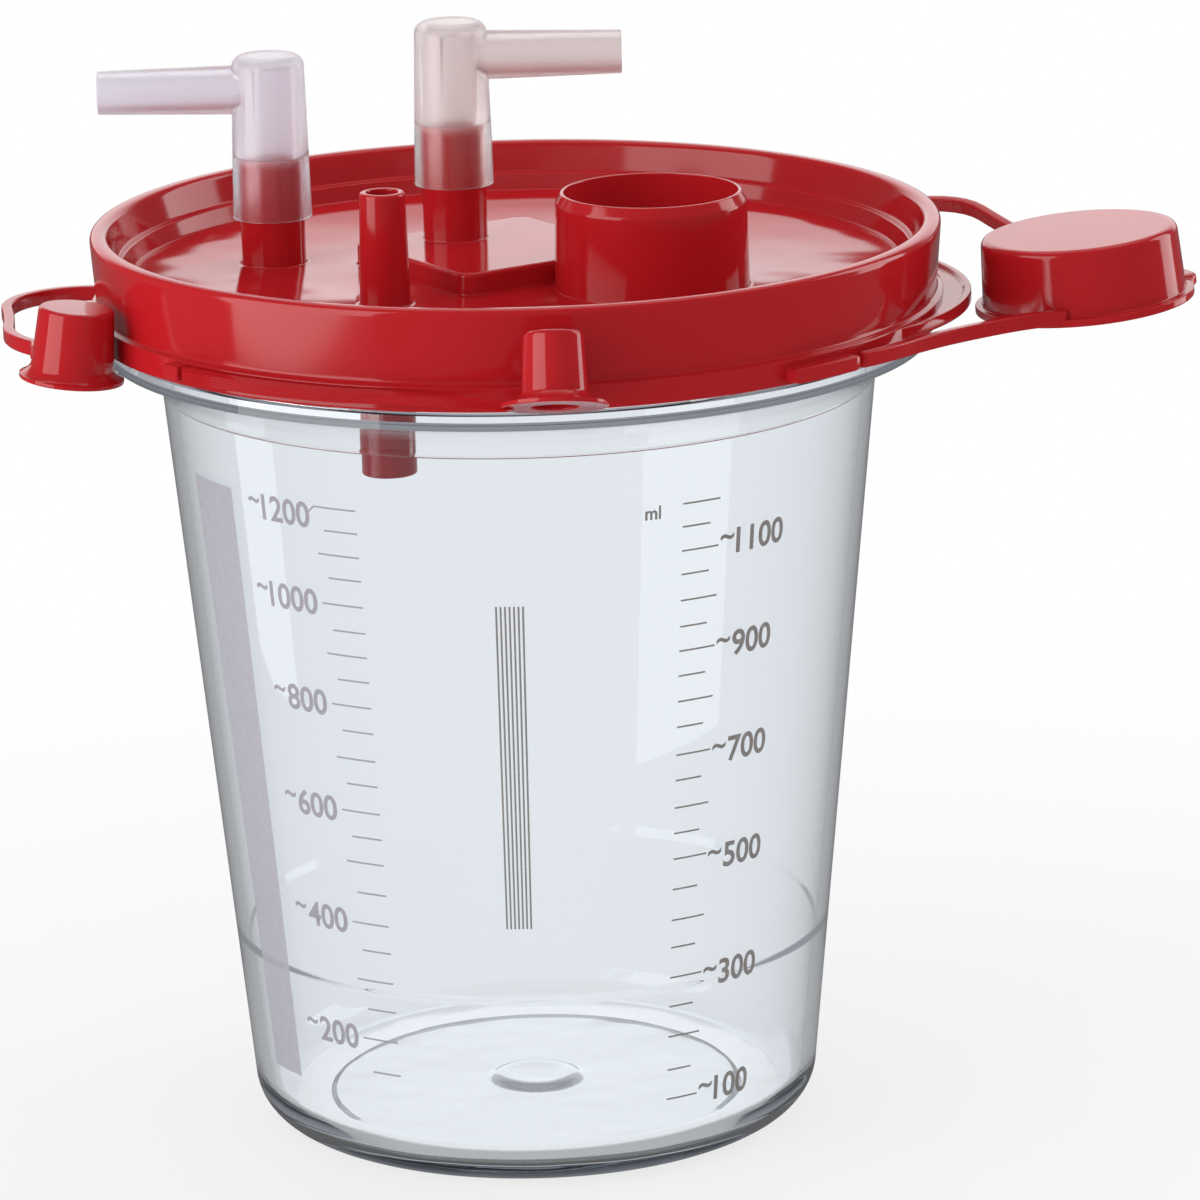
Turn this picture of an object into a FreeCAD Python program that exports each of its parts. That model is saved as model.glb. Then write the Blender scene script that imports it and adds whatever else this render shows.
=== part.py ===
import FreeCAD, Part
import math
import os

import Sketcher

# Suction canister: a clear tapered jar, a red press-on lid with its ports, two push-on
# elbows, the filter under the lid and three tethered caps.
# Millimetres. Z is up, the origin is the middle of the foot, and -Y is the side with the scale.

doc = FreeCAD.newDocument("SuctionCanister")
sheet = doc.addObject("Spreadsheet::Sheet", "Sizes")

# Driving sizes

SIZES = [
    ("jar_foot_radius", 45.5),
    ("jar_foot_width", 7.5),
    ("jar_foot_recess", 0.9),
    ("jar_base_radius", 51.9),
    ("jar_base_height", 8.1),
    ("jar_base_round", 8.6),
    ("jar_floor", 3.0),
    ("jar_inner_round", 6.0),
    ("jar_wall", 2.0),
    ("jar_ring_height", 36.5),
    ("jar_ring_step", 0.6),
    ("jar_wall_top_radius", 64.3),
    ("jar_flare_width", 8.9),
    ("jar_flare_height", 6.9),
    ("jar_flare_round", 14.4),
    ("jar_neck_height", 14.5),
    ("jar_neck_wall", 2.0),
    ("jar_flange_width", 1.0),
    ("jar_flange_thickness", 2.6),
    ("jar_rim_height", 158.9),
    ("gate_mark_radius", 8.0),
    ("gate_mark_height", 0.8),
    ("lid_wall", 1.5),
    ("lid_fit", 0.3),
    ("lid_grip", 10.7),
    ("lid_lip_width", 1.2),
    ("lid_lip_height", 4.3),
    ("lid_skirt_draft", 0.4),
    ("lid_rim_lean", 0.9),
    ("lid_rim_rise", 7.0),
    ("lid_rim_width", 3.0),
    ("lid_well_slope", 2.1),
    ("lid_ledge_rise", 1.6),
    ("lid_deck_drop", 1.6),
    ("lid_deck_thickness", 1.6),
    ("lid_plug_length", 5.0),
    ("ear_reach", 5.0),
    ("ear_spread", 30.0),
    ("ear_angle", -3.0),
    ("ear_thickness", 2.3),
    ("ear_dish", 0.7),
    ("boss_side", 37.6),
    ("boss_corner", 3.0),
    ("boss_height", 4.0),
    ("boss_angle", 33.0),
    ("boss_x", -3.7),
    ("filter_x", -5.5),
    ("filter_y", 2.7),
    ("filter_radius", 13.3),
    ("filter_thickness", 0.5),
    ("filter_ledge", 1.4),
    ("filter_fit", 0.15),
    ("retainer_thickness", 1.8),
    ("retainer_border", 2.4),
    ("retainer_bar", 1.3),
    ("retainer_hub_radius", 3.6),
    ("retainer_spokes", 8),
    ("post_radius", 5.8),
    ("post_bore_radius", 4.0),
    ("patient_x", -43.7),
    ("patient_y", 8.0),
    ("patient_post_height", 19.6),
    ("vacuum_x", -10.8),
    ("vacuum_y", 7.4),
    ("vacuum_post_height", 21.0),
    ("tandem_x", -23.1),
    ("tandem_y", -29.4),
    ("tandem_base_radius", 4.5),
    ("tandem_top_radius", 4.0),
    ("tandem_height", 20.0),
    ("tandem_bore_radius", 2.8),
    ("drop_tube_radius", 4.85),
    ("drop_tube_length", 28.7),
    ("spout_x", 24.0),
    ("spout_y", -19.0),
    ("spout_base_radius", 17.3),
    ("spout_radius", 16.9),
    ("spout_height", 17.0),
    ("spout_bevel", 0.9),
    ("spout_bevel_height", 2.0),
    ("spout_bore_radius", 15.4),
    ("port_root_round", 0.8),
    ("port_lip_round", 0.5),
    ("elbow_mouth_radius", 7.15),
    ("elbow_crown_radius", 6.5),
    ("elbow_height", 29.5),
    ("elbow_crown_round", 2.2),
    ("elbow_seat_depth", 11.0),
    ("elbow_fit", 0.06),
    ("elbow_bore_radius", 4.4),
    ("elbow_crown_wall", 2.2),
    ("nozzle_drop", 6.3),
    ("nozzle_reach", 30.6),
    ("nozzle_root_radius", 4.55),
    ("nozzle_tip_radius", 3.9),
    ("nozzle_bore_radius", 2.7),
    ("cap_wall", 1.2),
    ("cap_fit", 0.1),
    ("cap_flare_rise", 2.6),
    ("patient_cap_height", 12.9),
    ("patient_cap_top_radius", 6.6),
    ("patient_cap_foot_radius", 7.45),
    ("patient_cap_flare_radius", 9.2),
    ("patient_cap_angle", 202.6),
    ("patient_cap_standoff", 8.3),
    ("patient_cap_drop", 2.3),
    ("patient_cap_tilt", 6.5),
    ("tandem_cap_height", 12.7),
    ("tandem_cap_top_radius", 5.1),
    ("tandem_cap_foot_radius", 5.7),
    ("tandem_cap_flare_radius", 9.1),
    ("tandem_cap_angle", 273.9),
    ("tandem_cap_standoff", 9.8),
    ("tandem_cap_rise", 3.0),
    ("tandem_cap_tilt", -20.0),
    ("pour_cap_height", 13.3),
    ("pour_cap_radius", 18.3),
    ("pour_cap_taper", 0.7),
    ("pour_cap_round", 1.4),
    ("pour_cap_flange_radius", 19.7),
    ("pour_cap_flange", 1.4),
    ("pour_tab_reach", 1.8),
    ("pour_tab_height", 2.0),
    ("pour_tab_angle", 28.0),
    ("pour_tab_spread", 20.0),
    ("pour_cap_angle", -2.3),
    ("pour_cap_standoff", 25.4),
    ("pour_cap_rise", 0.7),
    ("pour_cap_tilt", -5.0),
    ("strap_thickness", 2.0),
    ("strap_height", 2.7),
    ("strap_rise", 0.6),
    ("tandem_strap_lift", 0.8),
    ("rear_strap_lift", 15.0),
    ("strap_gap", 0.95),
    ("root_gap", 0.35),
    ("root_length", 4.4),
    ("root_reach", 1.6),
    ("pour_root_length", 16.0),
    ("pour_hinge_angle", 40.5),
    ("tandem_hinge_angle", 223.4),
    ("patient_hinge_angle", 166.2),
]

for row, (alias, number) in enumerate(SIZES, start=1):
    sheet.set(f"A{row}", alias)
    sheet.set(f"B{row}", str(number))
    sheet.setAlias(f"B{row}", alias)
doc.recompute()


class Size:
    """A length or angle that knows its number and its formula on the sheet."""

    def __init__(self, number, formula):
        self.number = float(number)
        self.formula = formula

    def join(self, other, sign, number):
        formula = other.formula if isinstance(other, Size) else repr(float(other))
        return Size(number, f"({self.formula} {sign} {formula})")

    def __add__(self, other):
        return self.join(other, "+", self.number + number_of(other))

    def __sub__(self, other):
        return self.join(other, "-", self.number - number_of(other))

    def __mul__(self, other):
        return self.join(other, "*", self.number * number_of(other))

    def __truediv__(self, other):
        return self.join(other, "/", self.number / number_of(other))

    def __neg__(self):
        return Size(-self.number, f"(0 - {self.formula})")


def number_of(value):
    return value.number if isinstance(value, Size) else float(value)


def cosine(angle):
    return Size(math.cos(math.radians(angle.number)), f"cos({angle.formula})")


def sine(angle):
    return Size(math.sin(math.radians(angle.number)), f"sin({angle.formula})")


def angle_of(length, radius):
    """The turn in degrees that a length takes up along a circle."""
    return length / radius * DEGREES


class Sheet:
    """Each driving size by its name."""

    def __getattr__(self, alias):
        return Size(sheet.get(alias), f"Sizes.{alias}")


size = Sheet()
DEGREES = 180 / math.pi


def bind(thing, path, value):
    if isinstance(value, Size):
        thing.setExpression(path, value.formula)


# Sketch and feature helpers

def new_body(name):
    body = doc.addObject("PartDesign::Body", name)
    body.Label = name
    return body


def origin_plane(body, role):
    return next(plane for plane in body.Origin.OriginFeatures if plane.Role == role)


def attach(feature, body, role="XY_Plane", x=0.0, y=0.0, z=0.0, turn=0.0):
    """Seat a sketch or primitive on one of its own body's origin planes, shifted and turned there."""
    feature.AttachmentSupport = [(origin_plane(body, role), "")]
    feature.MapMode = "FlatFace"
    shift = FreeCAD.Vector(number_of(x), number_of(y), number_of(z))
    spin = FreeCAD.Rotation(FreeCAD.Vector(0, 0, 1), number_of(turn))
    feature.AttachmentOffset = FreeCAD.Placement(shift, spin)
    bind(feature, "AttachmentOffset.Base.x", x)
    bind(feature, "AttachmentOffset.Base.y", y)
    bind(feature, "AttachmentOffset.Base.z", z)
    bind(feature, "AttachmentOffset.Rotation.Angle", turn)


def new_sketch(body, name, role="XY_Plane", **where):
    sketch = body.newObject("Sketcher::SketchObject", name)
    attach(sketch, body, role, **where)
    return sketch


def pin_coordinate(sketch, kind, geometry, end, value):
    """Hold one coordinate of a point, on an axis where it is nought.

    A sketch knows its horizontal axis and origin as -1, and its vertical axis as -2."""
    if number_of(value) == 0 and not isinstance(value, Size):
        axis = -2 if kind == "DistanceX" else -1
        sketch.addConstraint(Sketcher.Constraint("PointOnObject", geometry, end, axis))
        return
    index = sketch.addConstraint(
        Sketcher.Constraint(kind, -1, 1, geometry, end, number_of(value)))
    bind(sketch, f"Constraints[{index}]", value)


def flat(x, y):
    return FreeCAD.Vector(number_of(x), number_of(y), 0)


def arc_between(start, end, radius, left):
    """The short arc from start to end, bulging to the left or the right of the way there."""
    middle = (start + end) * 0.5
    chord = end - start
    half = chord.Length / 2
    side = FreeCAD.Vector(-chord.y, chord.x, 0).normalize()
    if not left:
        side = side * -1
    rise = radius - math.sqrt(max(radius ** 2 - half ** 2, 0.0))
    return Part.Arc(start, middle + side * rise, end)


def outline(sketch, points):
    """A closed outline. Each point is (x, y), or (x, y, radius, bulge) for an arc that ends there."""
    count = len(points)
    edges = []
    for index in range(count):
        here = points[index]
        after = points[(index + 1) % count]
        start = flat(here[0], here[1])
        end = flat(after[0], after[1])
        if len(after) == 4:
            edge = arc_between(start, end, number_of(after[2]), after[3] == "left")
        else:
            edge = Part.LineSegment(start, end)
        edges.append(sketch.addGeometry(edge, False))
    starts = []
    for index in range(count):
        first, last = 1, 2
        after = points[(index + 1) % count]
        if len(after) == 4:
            begin = sketch.getPoint(edges[index], 1)
            if begin.distanceToPoint(flat(points[index][0], points[index][1])) > 1e-6:
                first, last = 2, 1
        starts.append((first, last))
    for index in range(count):
        following = (index + 1) % count
        sketch.addConstraint(Sketcher.Constraint(
            "Coincident", edges[index], starts[index][1], edges[following], starts[following][0]))
    for index in range(count):
        pin_coordinate(sketch, "DistanceX", edges[index], starts[index][0], points[index][0])
        pin_coordinate(sketch, "DistanceY", edges[index], starts[index][0], points[index][1])
        after = points[(index + 1) % count]
        if len(after) == 4:
            held = sketch.addConstraint(
                Sketcher.Constraint("Radius", edges[index], number_of(after[2])))
            bind(sketch, f"Constraints[{held}]", after[2])


def circle(sketch, radius, x=0.0, y=0.0):
    ring = sketch.addGeometry(
        Part.Circle(flat(x, y), FreeCAD.Vector(0, 0, 1), number_of(radius)), False)
    pin_coordinate(sketch, "DistanceX", ring, 3, x)
    pin_coordinate(sketch, "DistanceY", ring, 3, y)
    held = sketch.addConstraint(Sketcher.Constraint("Radius", ring, number_of(radius)))
    bind(sketch, f"Constraints[{held}]", radius)


def polar(radius, angle):
    return radius * cosine(angle), radius * sine(angle)


def sector(sketch, inner, outer, start, end):
    """A band of a ring between two angles in degrees."""
    outline(sketch, [
        (*polar(inner, start), inner, "left"),
        polar(outer, start),
        (*polar(outer, end), outer, "right"),
        polar(inner, end),
    ])


def rounded_square(sketch, side, corner):
    half = side / 2
    straight = half - corner
    outline(sketch, [
        (-straight, -half, corner, "right"), (straight, -half),
        (half, -straight, corner, "right"), (half, straight),
        (straight, half, corner, "right"), (-straight, half),
        (-half, straight, corner, "right"), (-half, -straight),
    ])


def turned(body, name, points, cut=False):
    """Revolve a profile of (radius, height) points about the body's vertical axis."""
    profile = new_sketch(body, name + "Profile", "XZ_Plane")
    outline(profile, points)
    kind = "PartDesign::Groove" if cut else "PartDesign::Revolution"
    feature = body.newObject(kind, name)
    feature.Profile = profile
    feature.ReferenceAxis = (profile, ["V_Axis"])
    feature.Angle = 360.0
    return feature


def pad(body, name, sketch, length):
    feature = body.newObject("PartDesign::Pad", name)
    feature.Profile = sketch
    feature.Length = number_of(length)
    bind(feature, "Length", length)
    return feature


def pocket(body, name, sketch, length, upward=True):
    """Cut from the sketch's plane, upwards along its normal or downwards."""
    feature = body.newObject("PartDesign::Pocket", name)
    feature.Profile = sketch
    feature.Length = number_of(length)
    feature.Reversed = upward
    bind(feature, "Length", length)
    return feature


def cone(body, name, low_radius, high_radius, length, **where):
    feature = body.newObject("PartDesign::AdditiveCone", name)
    attach(feature, body, **where)
    for path, value in (("Radius1", low_radius), ("Radius2", high_radius), ("Height", length)):
        setattr(feature, path, number_of(value))
        bind(feature, path, value)
    return feature


def cylinder(body, kind, name, radius, length, **where):
    feature = body.newObject("PartDesign::" + kind, name)
    attach(feature, body, **where)
    for path, value in (("Radius", radius), ("Height", length)):
        setattr(feature, path, number_of(value))
        bind(feature, path, value)
    return feature


def post(body, name, radius, length, **where):
    return cylinder(body, "AdditiveCylinder", name, radius, length, **where)


def bore(body, name, radius, length, **where):
    return cylinder(body, "SubtractiveCylinder", name, radius, length, **where)


def circles_at(shape, height, x, y, radii):
    """Names of the round edges centred at (x, y) at a height, with one of the radii."""
    names = []
    for index, edge in enumerate(shape.Edges, start=1):
        curve = edge.Curve
        if not isinstance(curve, Part.Circle):
            continue
        near = abs(curve.Center.z - height) < 0.01
        near = near and math.hypot(curve.Center.x - x, curve.Center.y - y) < 0.01
        if near and any(abs(curve.Radius - radius) < 0.01 for radius in radii):
            names.append(f"Edge{index}")
    return names


def round_edges(body, name, base, edges, radius):
    feature = body.newObject("PartDesign::Fillet", name)
    feature.Base = (base, edges)
    feature.Radius = number_of(radius)
    bind(feature, "Radius", radius)
    return feature


def place(body, x, y, z, turn=0.0):
    """Stand a body at a point, turned about the upright axis."""
    spin = FreeCAD.Rotation(FreeCAD.Vector(0, 0, 1), turn)
    body.Placement = FreeCAD.Placement(
        FreeCAD.Vector(number_of(x), number_of(y), number_of(z)), spin)
    bind(body, "Placement.Base.x", x)
    bind(body, "Placement.Base.y", y)
    bind(body, "Placement.Base.z", z)


# Levels and radii shared by the jar and the lid

rim_z = size.jar_rim_height
flange_z = rim_z - size.jar_neck_height
wall_top_z = flange_z - size.jar_flare_height
deck_z = rim_z - size.lid_deck_drop
deck_under_z = deck_z - size.lid_deck_thickness
lid_foot_z = rim_z - size.lid_grip
crest_z = rim_z + size.lid_rim_rise
boss_top_z = deck_z + size.boss_height
neck_radius = size.jar_wall_top_radius + size.jar_flare_width
neck_inner_radius = neck_radius - size.jar_neck_wall
skirt_base_radius = neck_radius + size.lid_fit + size.lid_wall + size.lid_skirt_draft
lid_rim_radius = skirt_base_radius + size.lid_rim_lean
lip_radius = skirt_base_radius + size.lid_lip_width


# Canister jar

def build_canister():
    body = new_body("canister")
    slope = (size.jar_wall_top_radius - size.jar_base_radius) / (
        wall_top_z - size.jar_base_height)
    ring_radius = size.jar_base_radius + slope * (size.jar_ring_height - size.jar_base_height)
    floor_z = size.jar_foot_recess + size.jar_floor
    round_top_z = floor_z + size.jar_inner_round
    inner_low = size.jar_base_radius - size.jar_wall - size.jar_ring_step + slope * (
        round_top_z - size.jar_base_height)
    flange_top = flange_z + size.jar_flange_thickness
    flange_radius = neck_radius + size.jar_flange_width
    turned(body, "JarWall", [
        (0.0, size.jar_foot_recess),
        (size.jar_foot_radius - size.jar_foot_width - size.jar_foot_recess, size.jar_foot_recess),
        (size.jar_foot_radius - size.jar_foot_width, 0.0),
        (size.jar_foot_radius, 0.0),
        (size.jar_base_radius, size.jar_base_height, size.jar_base_round, "right"),
        (size.jar_wall_top_radius, wall_top_z),
        (neck_radius, flange_z, size.jar_flare_round, "left"),
        (flange_radius, flange_z),
        (flange_radius, flange_top),
        (neck_radius, flange_top + 0.4),
        (neck_radius, rim_z - 0.6),
        (neck_radius - 0.6, rim_z),
        (neck_inner_radius, rim_z),
        (neck_inner_radius, flange_z + 1.0),
        (size.jar_wall_top_radius - size.jar_wall, wall_top_z,
         size.jar_flare_round, "right"),
        (ring_radius - size.jar_wall, size.jar_ring_height),
        (ring_radius - size.jar_wall - size.jar_ring_step, size.jar_ring_height - size.jar_ring_step),
        (inner_low, round_top_z),
        (inner_low - size.jar_inner_round, floor_z, size.jar_inner_round, "left"),
        (size.gate_mark_radius, floor_z),
        (size.gate_mark_radius - size.gate_mark_height, floor_z + size.gate_mark_height),
        (0.0, floor_z + size.gate_mark_height),
    ])
    return body


# Lid

lip_top_z = lid_foot_z + size.lid_lip_height
skirt_inner_radius = neck_radius + size.lid_fit
plug_radius = neck_inner_radius - size.lid_fit
root_inner_radius = skirt_inner_radius + size.lid_wall
strap_radius = lip_radius + size.strap_gap + size.strap_thickness / 2
strap_z = lid_foot_z + size.strap_rise
patient_root_radius = lip_radius + size.root_reach


def lid_shell(body):
    """Skirt, rolled rim, channel for the jar's rim, plug and deck in one turned section."""
    deck_radius = plug_radius - size.lid_wall
    ledge_z = rim_z + size.lid_ledge_rise
    well_radius = lid_rim_radius - size.lid_rim_width
    channel_radius = lid_rim_radius - size.lid_wall
    plug_foot_z = deck_under_z - size.lid_plug_length
    turned(body, "LidShell", [
        (0.0, deck_z),
        (deck_radius - 0.8, deck_z),
        (deck_radius, deck_z + 0.8, 0.8, "right"),
        (plug_radius - 0.4, ledge_z - 0.3),
        (well_radius - size.lid_well_slope + 0.4, ledge_z),
        (well_radius, crest_z - 1.3),
        (well_radius + 1.3, crest_z, 1.4, "left"),
        (lid_rim_radius - 1.3, crest_z),
        (lid_rim_radius, crest_z - 1.6, 1.7, "left"),
        (skirt_base_radius, lip_top_z + 0.5),
        (lip_radius, lip_top_z),
        (lip_radius, lid_foot_z + 0.5),
        (lip_radius - 0.5, lid_foot_z),
        (skirt_inner_radius + 0.7, lid_foot_z),
        (skirt_inner_radius, lid_foot_z + 0.9),
        (skirt_inner_radius, rim_z + 0.4),
        (channel_radius - 0.4, crest_z - 2.4),
        (channel_radius - 0.9, crest_z - 2.4),
        (plug_radius + 1.2, rim_z),
        (plug_radius, rim_z),
        (plug_radius, plug_foot_z + 0.8),
        (plug_radius - 0.8, plug_foot_z),
        (deck_radius, plug_foot_z),
        (deck_radius, deck_under_z),
        (0.0, deck_under_z),
    ])


def ear_outline(sketch, inner, reach):
    """The lobe of the lift ear: a wide arc that springs from the skirt on both sides."""
    across = inner * sine(size.ear_spread)
    along = inner * cosine(size.ear_spread)
    sagitta = lip_radius + reach - along
    radius = (across * across + sagitta * sagitta) / (sagitta * 2)
    outline(sketch, [
        (along, -across, inner, "left"),
        (along, across, radius, "right"),
    ])


def lid_ear(body):
    foot = lip_top_z - size.ear_thickness - 0.1
    lobe = new_sketch(body, "EarOutline", z=foot, turn=size.ear_angle)
    ear_outline(lobe, root_inner_radius, size.ear_reach)
    pad(body, "Ear", lobe, size.ear_thickness)
    hollow_z = foot + size.ear_thickness - size.ear_dish
    hollow = new_sketch(body, "EarHollow", z=hollow_z, turn=size.ear_angle)
    ear_outline(hollow, lip_radius + 0.2, size.ear_reach - 1.1)
    pocket(body, "EarDish", hollow, size.ear_dish)


def lid_roots(body):
    """Blunt blocks on the lip where the three straps spring from the lid."""
    outer = strap_radius + size.strap_thickness / 2
    clearance = angle_of(size.strap_thickness / 2 + size.root_gap, strap_radius)
    tandem_end = size.tandem_hinge_angle - clearance
    tandem_start = tandem_end - angle_of(size.root_length, strap_radius)
    tandem = new_sketch(body, "TandemRootOutline", z=strap_z + size.tandem_strap_lift)
    sector(tandem, root_inner_radius, outer, tandem_start, tandem_end)
    pad(body, "TandemRoot", tandem, size.strap_height)

    half = angle_of(size.root_length / 2, strap_radius)
    patient = new_sketch(body, "PatientRootOutline", z=strap_z)
    sector(patient, root_inner_radius, patient_root_radius,
           size.patient_hinge_angle - half, size.patient_hinge_angle + half)
    pad(body, "PatientRoot", patient, size.strap_height)

    swing = angle_of(size.strap_height / 2 + size.root_gap + 0.3, strap_radius)
    near = size.pour_hinge_angle + swing
    far = near + angle_of(size.pour_root_length, strap_radius)
    front = new_sketch(body, "FrontRootOutline", z=strap_z)
    sector(front, root_inner_radius, outer, -far, -near)
    pad(body, "FrontRoot", front, size.strap_height)
    clear = size.pour_hinge_angle + angle_of(size.strap_height + size.root_gap, strap_radius)
    rear = new_sketch(body, "RearRootOutline", z=strap_z)
    sector(rear, root_inner_radius, outer, clear, far)
    pad(body, "RearRoot", rear, size.strap_height)


def filter_housing(body):
    """The square housing on the deck, open below for the filter and its retainer."""
    base = new_sketch(body, "BossOutline", x=size.boss_x, z=deck_z, turn=size.boss_angle)
    rounded_square(base, size.boss_side, size.boss_corner)
    boss = pad(body, "Boss", base, size.boss_height)
    doc.recompute()
    top = [f"Edge{index}" for index, edge in enumerate(boss.Shape.Edges, start=1)
           if abs(edge.BoundBox.ZMin - boss_top_z.number) < 0.01]
    round_edges(body, "BossRound", boss, top, size.port_root_round)


def lid_ports(body):
    spout_edge_z = deck_z + size.spout_height - size.spout_bevel_height
    post(body, "PatientPost", size.post_radius, size.patient_post_height,
         x=size.patient_x, y=size.patient_y, z=deck_z)
    post(body, "VacuumPost", size.post_radius, size.vacuum_post_height,
         x=size.vacuum_x, y=size.vacuum_y, z=boss_top_z)
    cone(body, "TandemPort", size.tandem_base_radius, size.tandem_top_radius, size.tandem_height,
         x=size.tandem_x, y=size.tandem_y, z=deck_z)
    post(body, "DropTube", size.drop_tube_radius, size.drop_tube_length + size.lid_deck_thickness / 2,
         x=size.tandem_x, y=size.tandem_y, z=deck_under_z - size.drop_tube_length)
    cone(body, "PourSpout", size.spout_base_radius, size.spout_radius,
         size.spout_height - size.spout_bevel_height, x=size.spout_x, y=size.spout_y, z=deck_z)
    cone(body, "SpoutBevel", size.spout_radius, size.spout_radius - size.spout_bevel,
         size.spout_bevel_height, x=size.spout_x, y=size.spout_y, z=spout_edge_z)


def lid_bores(body):
    recess = size.retainer_thickness + size.filter_thickness
    seat_z = deck_under_z + recess
    bore(body, "SpoutBore", size.spout_bore_radius, size.spout_height + size.lid_deck_thickness,
         x=size.spout_x, y=size.spout_y, z=deck_under_z)
    bore(body, "PatientBore", size.post_bore_radius,
         size.patient_post_height + size.lid_deck_thickness,
         x=size.patient_x, y=size.patient_y, z=deck_under_z)
    bore(body, "TandemBore", size.tandem_bore_radius,
         size.tandem_height + size.lid_deck_thickness + size.drop_tube_length,
         x=size.tandem_x, y=size.tandem_y, z=deck_under_z - size.drop_tube_length)
    bore(body, "RetainerSeat", size.filter_radius + size.filter_fit, recess,
         x=size.filter_x, y=size.filter_y, z=deck_under_z)
    bore(body, "FilterChamber", size.filter_radius - size.filter_ledge,
         boss_top_z - size.lid_wall - seat_z, x=size.filter_x, y=size.filter_y, z=seat_z)
    return bore(body, "VacuumBore", size.post_bore_radius,
                size.vacuum_post_height + size.lid_wall,
                x=size.vacuum_x, y=size.vacuum_y, z=boss_top_z - size.lid_wall)


def build_lid():
    body = new_body("lid")
    lid_shell(body)
    lid_ear(body)
    lid_roots(body)
    filter_housing(body)
    lid_ports(body)
    last = lid_bores(body)
    doc.recompute()
    patient_x, patient_y = size.patient_x.number, size.patient_y.number
    vacuum_x, vacuum_y = size.vacuum_x.number, size.vacuum_y.number
    tandem_x, tandem_y = size.tandem_x.number, size.tandem_y.number
    radius = size.post_radius.number
    roots = circles_at(last.Shape, deck_z.number, patient_x, patient_y, [radius])
    roots += circles_at(last.Shape, boss_top_z.number, vacuum_x, vacuum_y, [radius])
    roots += circles_at(last.Shape, deck_z.number, tandem_x, tandem_y,
                        [size.tandem_base_radius.number])
    rooted = round_edges(body, "PortRoots", last, roots, size.port_root_round)
    doc.recompute()
    patient_top = (deck_z + size.patient_post_height).number
    vacuum_top = (boss_top_z + size.vacuum_post_height).number
    tandem_top = (deck_z + size.tandem_height).number
    lips = circles_at(rooted.Shape, patient_top, patient_x, patient_y, [radius])
    lips += circles_at(rooted.Shape, vacuum_top, vacuum_x, vacuum_y, [radius])
    lips += circles_at(rooted.Shape, tandem_top, tandem_x, tandem_y,
                       [size.tandem_top_radius.number])
    round_edges(body, "PortLips", rooted, lips, size.port_lip_round)
    return body


# Filter and its retainer

def build_filter_membrane():
    body = new_body("filter_membrane")
    disc = new_sketch(body, "MembraneOutline", x=size.filter_x, y=size.filter_y,
                      z=deck_under_z + size.retainer_thickness)
    circle(disc, size.filter_radius)
    pad(body, "Membrane", disc, size.filter_thickness)
    return body


def build_filter_retainer():
    body = new_body("filter_retainer")
    disc = new_sketch(body, "RetainerOutline")
    circle(disc, size.filter_radius)
    pad(body, "RetainerDisc", disc, size.retainer_thickness)
    window_outer = size.filter_radius - size.retainer_border
    middle = (window_outer + size.retainer_hub_radius) / 2
    half = (angle_of(middle * 2 * math.pi / size.retainer_spokes - size.retainer_bar, middle)) / 2
    window = new_sketch(body, "WindowOutline")
    sector(window, size.retainer_hub_radius, window_outer, -half, half)
    opening = pocket(body, "Window", window, size.retainer_thickness)
    doc.recompute()
    windows = body.newObject("PartDesign::PolarPattern", "Windows")
    windows.Originals = [opening]
    windows.Axis = (window, ["N_Axis"])
    windows.Angle = 360.0
    windows.Occurrences = int(size.retainer_spokes.number)
    bind(windows, "Occurrences", size.retainer_spokes)
    body.Tip = windows
    place(body, size.filter_x, size.filter_y, deck_under_z)
    return body


# Elbows

def build_elbow(name, x, y, foot_z, turn):
    """A push-on elbow about its own upright axis, nozzle along +X before it is turned."""
    body = new_body(name)
    crown_z = size.elbow_height
    nozzle_z = crown_z - size.nozzle_drop
    shoulder = size.elbow_crown_radius - size.elbow_crown_round
    turned(body, name + "Skin", [
        (0.0, 0.0),
        (size.elbow_mouth_radius, 0.0),
        (size.elbow_crown_radius, crown_z - size.elbow_crown_round),
        (shoulder, crown_z, size.elbow_crown_round, "right"),
        (0.0, crown_z),
    ])
    cone(body, name + "Nozzle", size.nozzle_root_radius, size.nozzle_tip_radius, size.nozzle_reach,
         role="YZ_Plane", y=nozzle_z)
    bore(body, name + "Socket", size.post_radius + size.elbow_fit, size.elbow_seat_depth)
    bore(body, name + "Bore", size.elbow_bore_radius, crown_z - size.elbow_crown_wall)
    last = bore(body, name + "NozzleBore", size.nozzle_bore_radius, size.nozzle_reach,
                role="YZ_Plane", y=nozzle_z)
    doc.recompute()
    tip = []
    for index, edge in enumerate(last.Shape.Edges, start=1):
        box = edge.BoundBox
        if box.XMin > size.nozzle_reach.number - 0.01:
            tip.append(f"Edge{index}")
    round_edges(body, name + "Tip", last, tip, size.port_lip_round / 2)
    place(body, x, y, foot_z, turn=turn)
    return body


# Caps and their straps

def lip_point(standoff, angle):
    """A point at a distance outside the lid's lip."""
    turn = math.radians(number_of(angle))
    radius = (lip_radius + standoff).number
    return FreeCAD.Vector(radius * math.cos(turn), radius * math.sin(turn), 0)


def along_route(route):
    """Points of a strap's route, given as shares of the lip's radius with their angles."""
    return [lip_point(lip_radius * (share - 1), angle) for share, angle in route]


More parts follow.
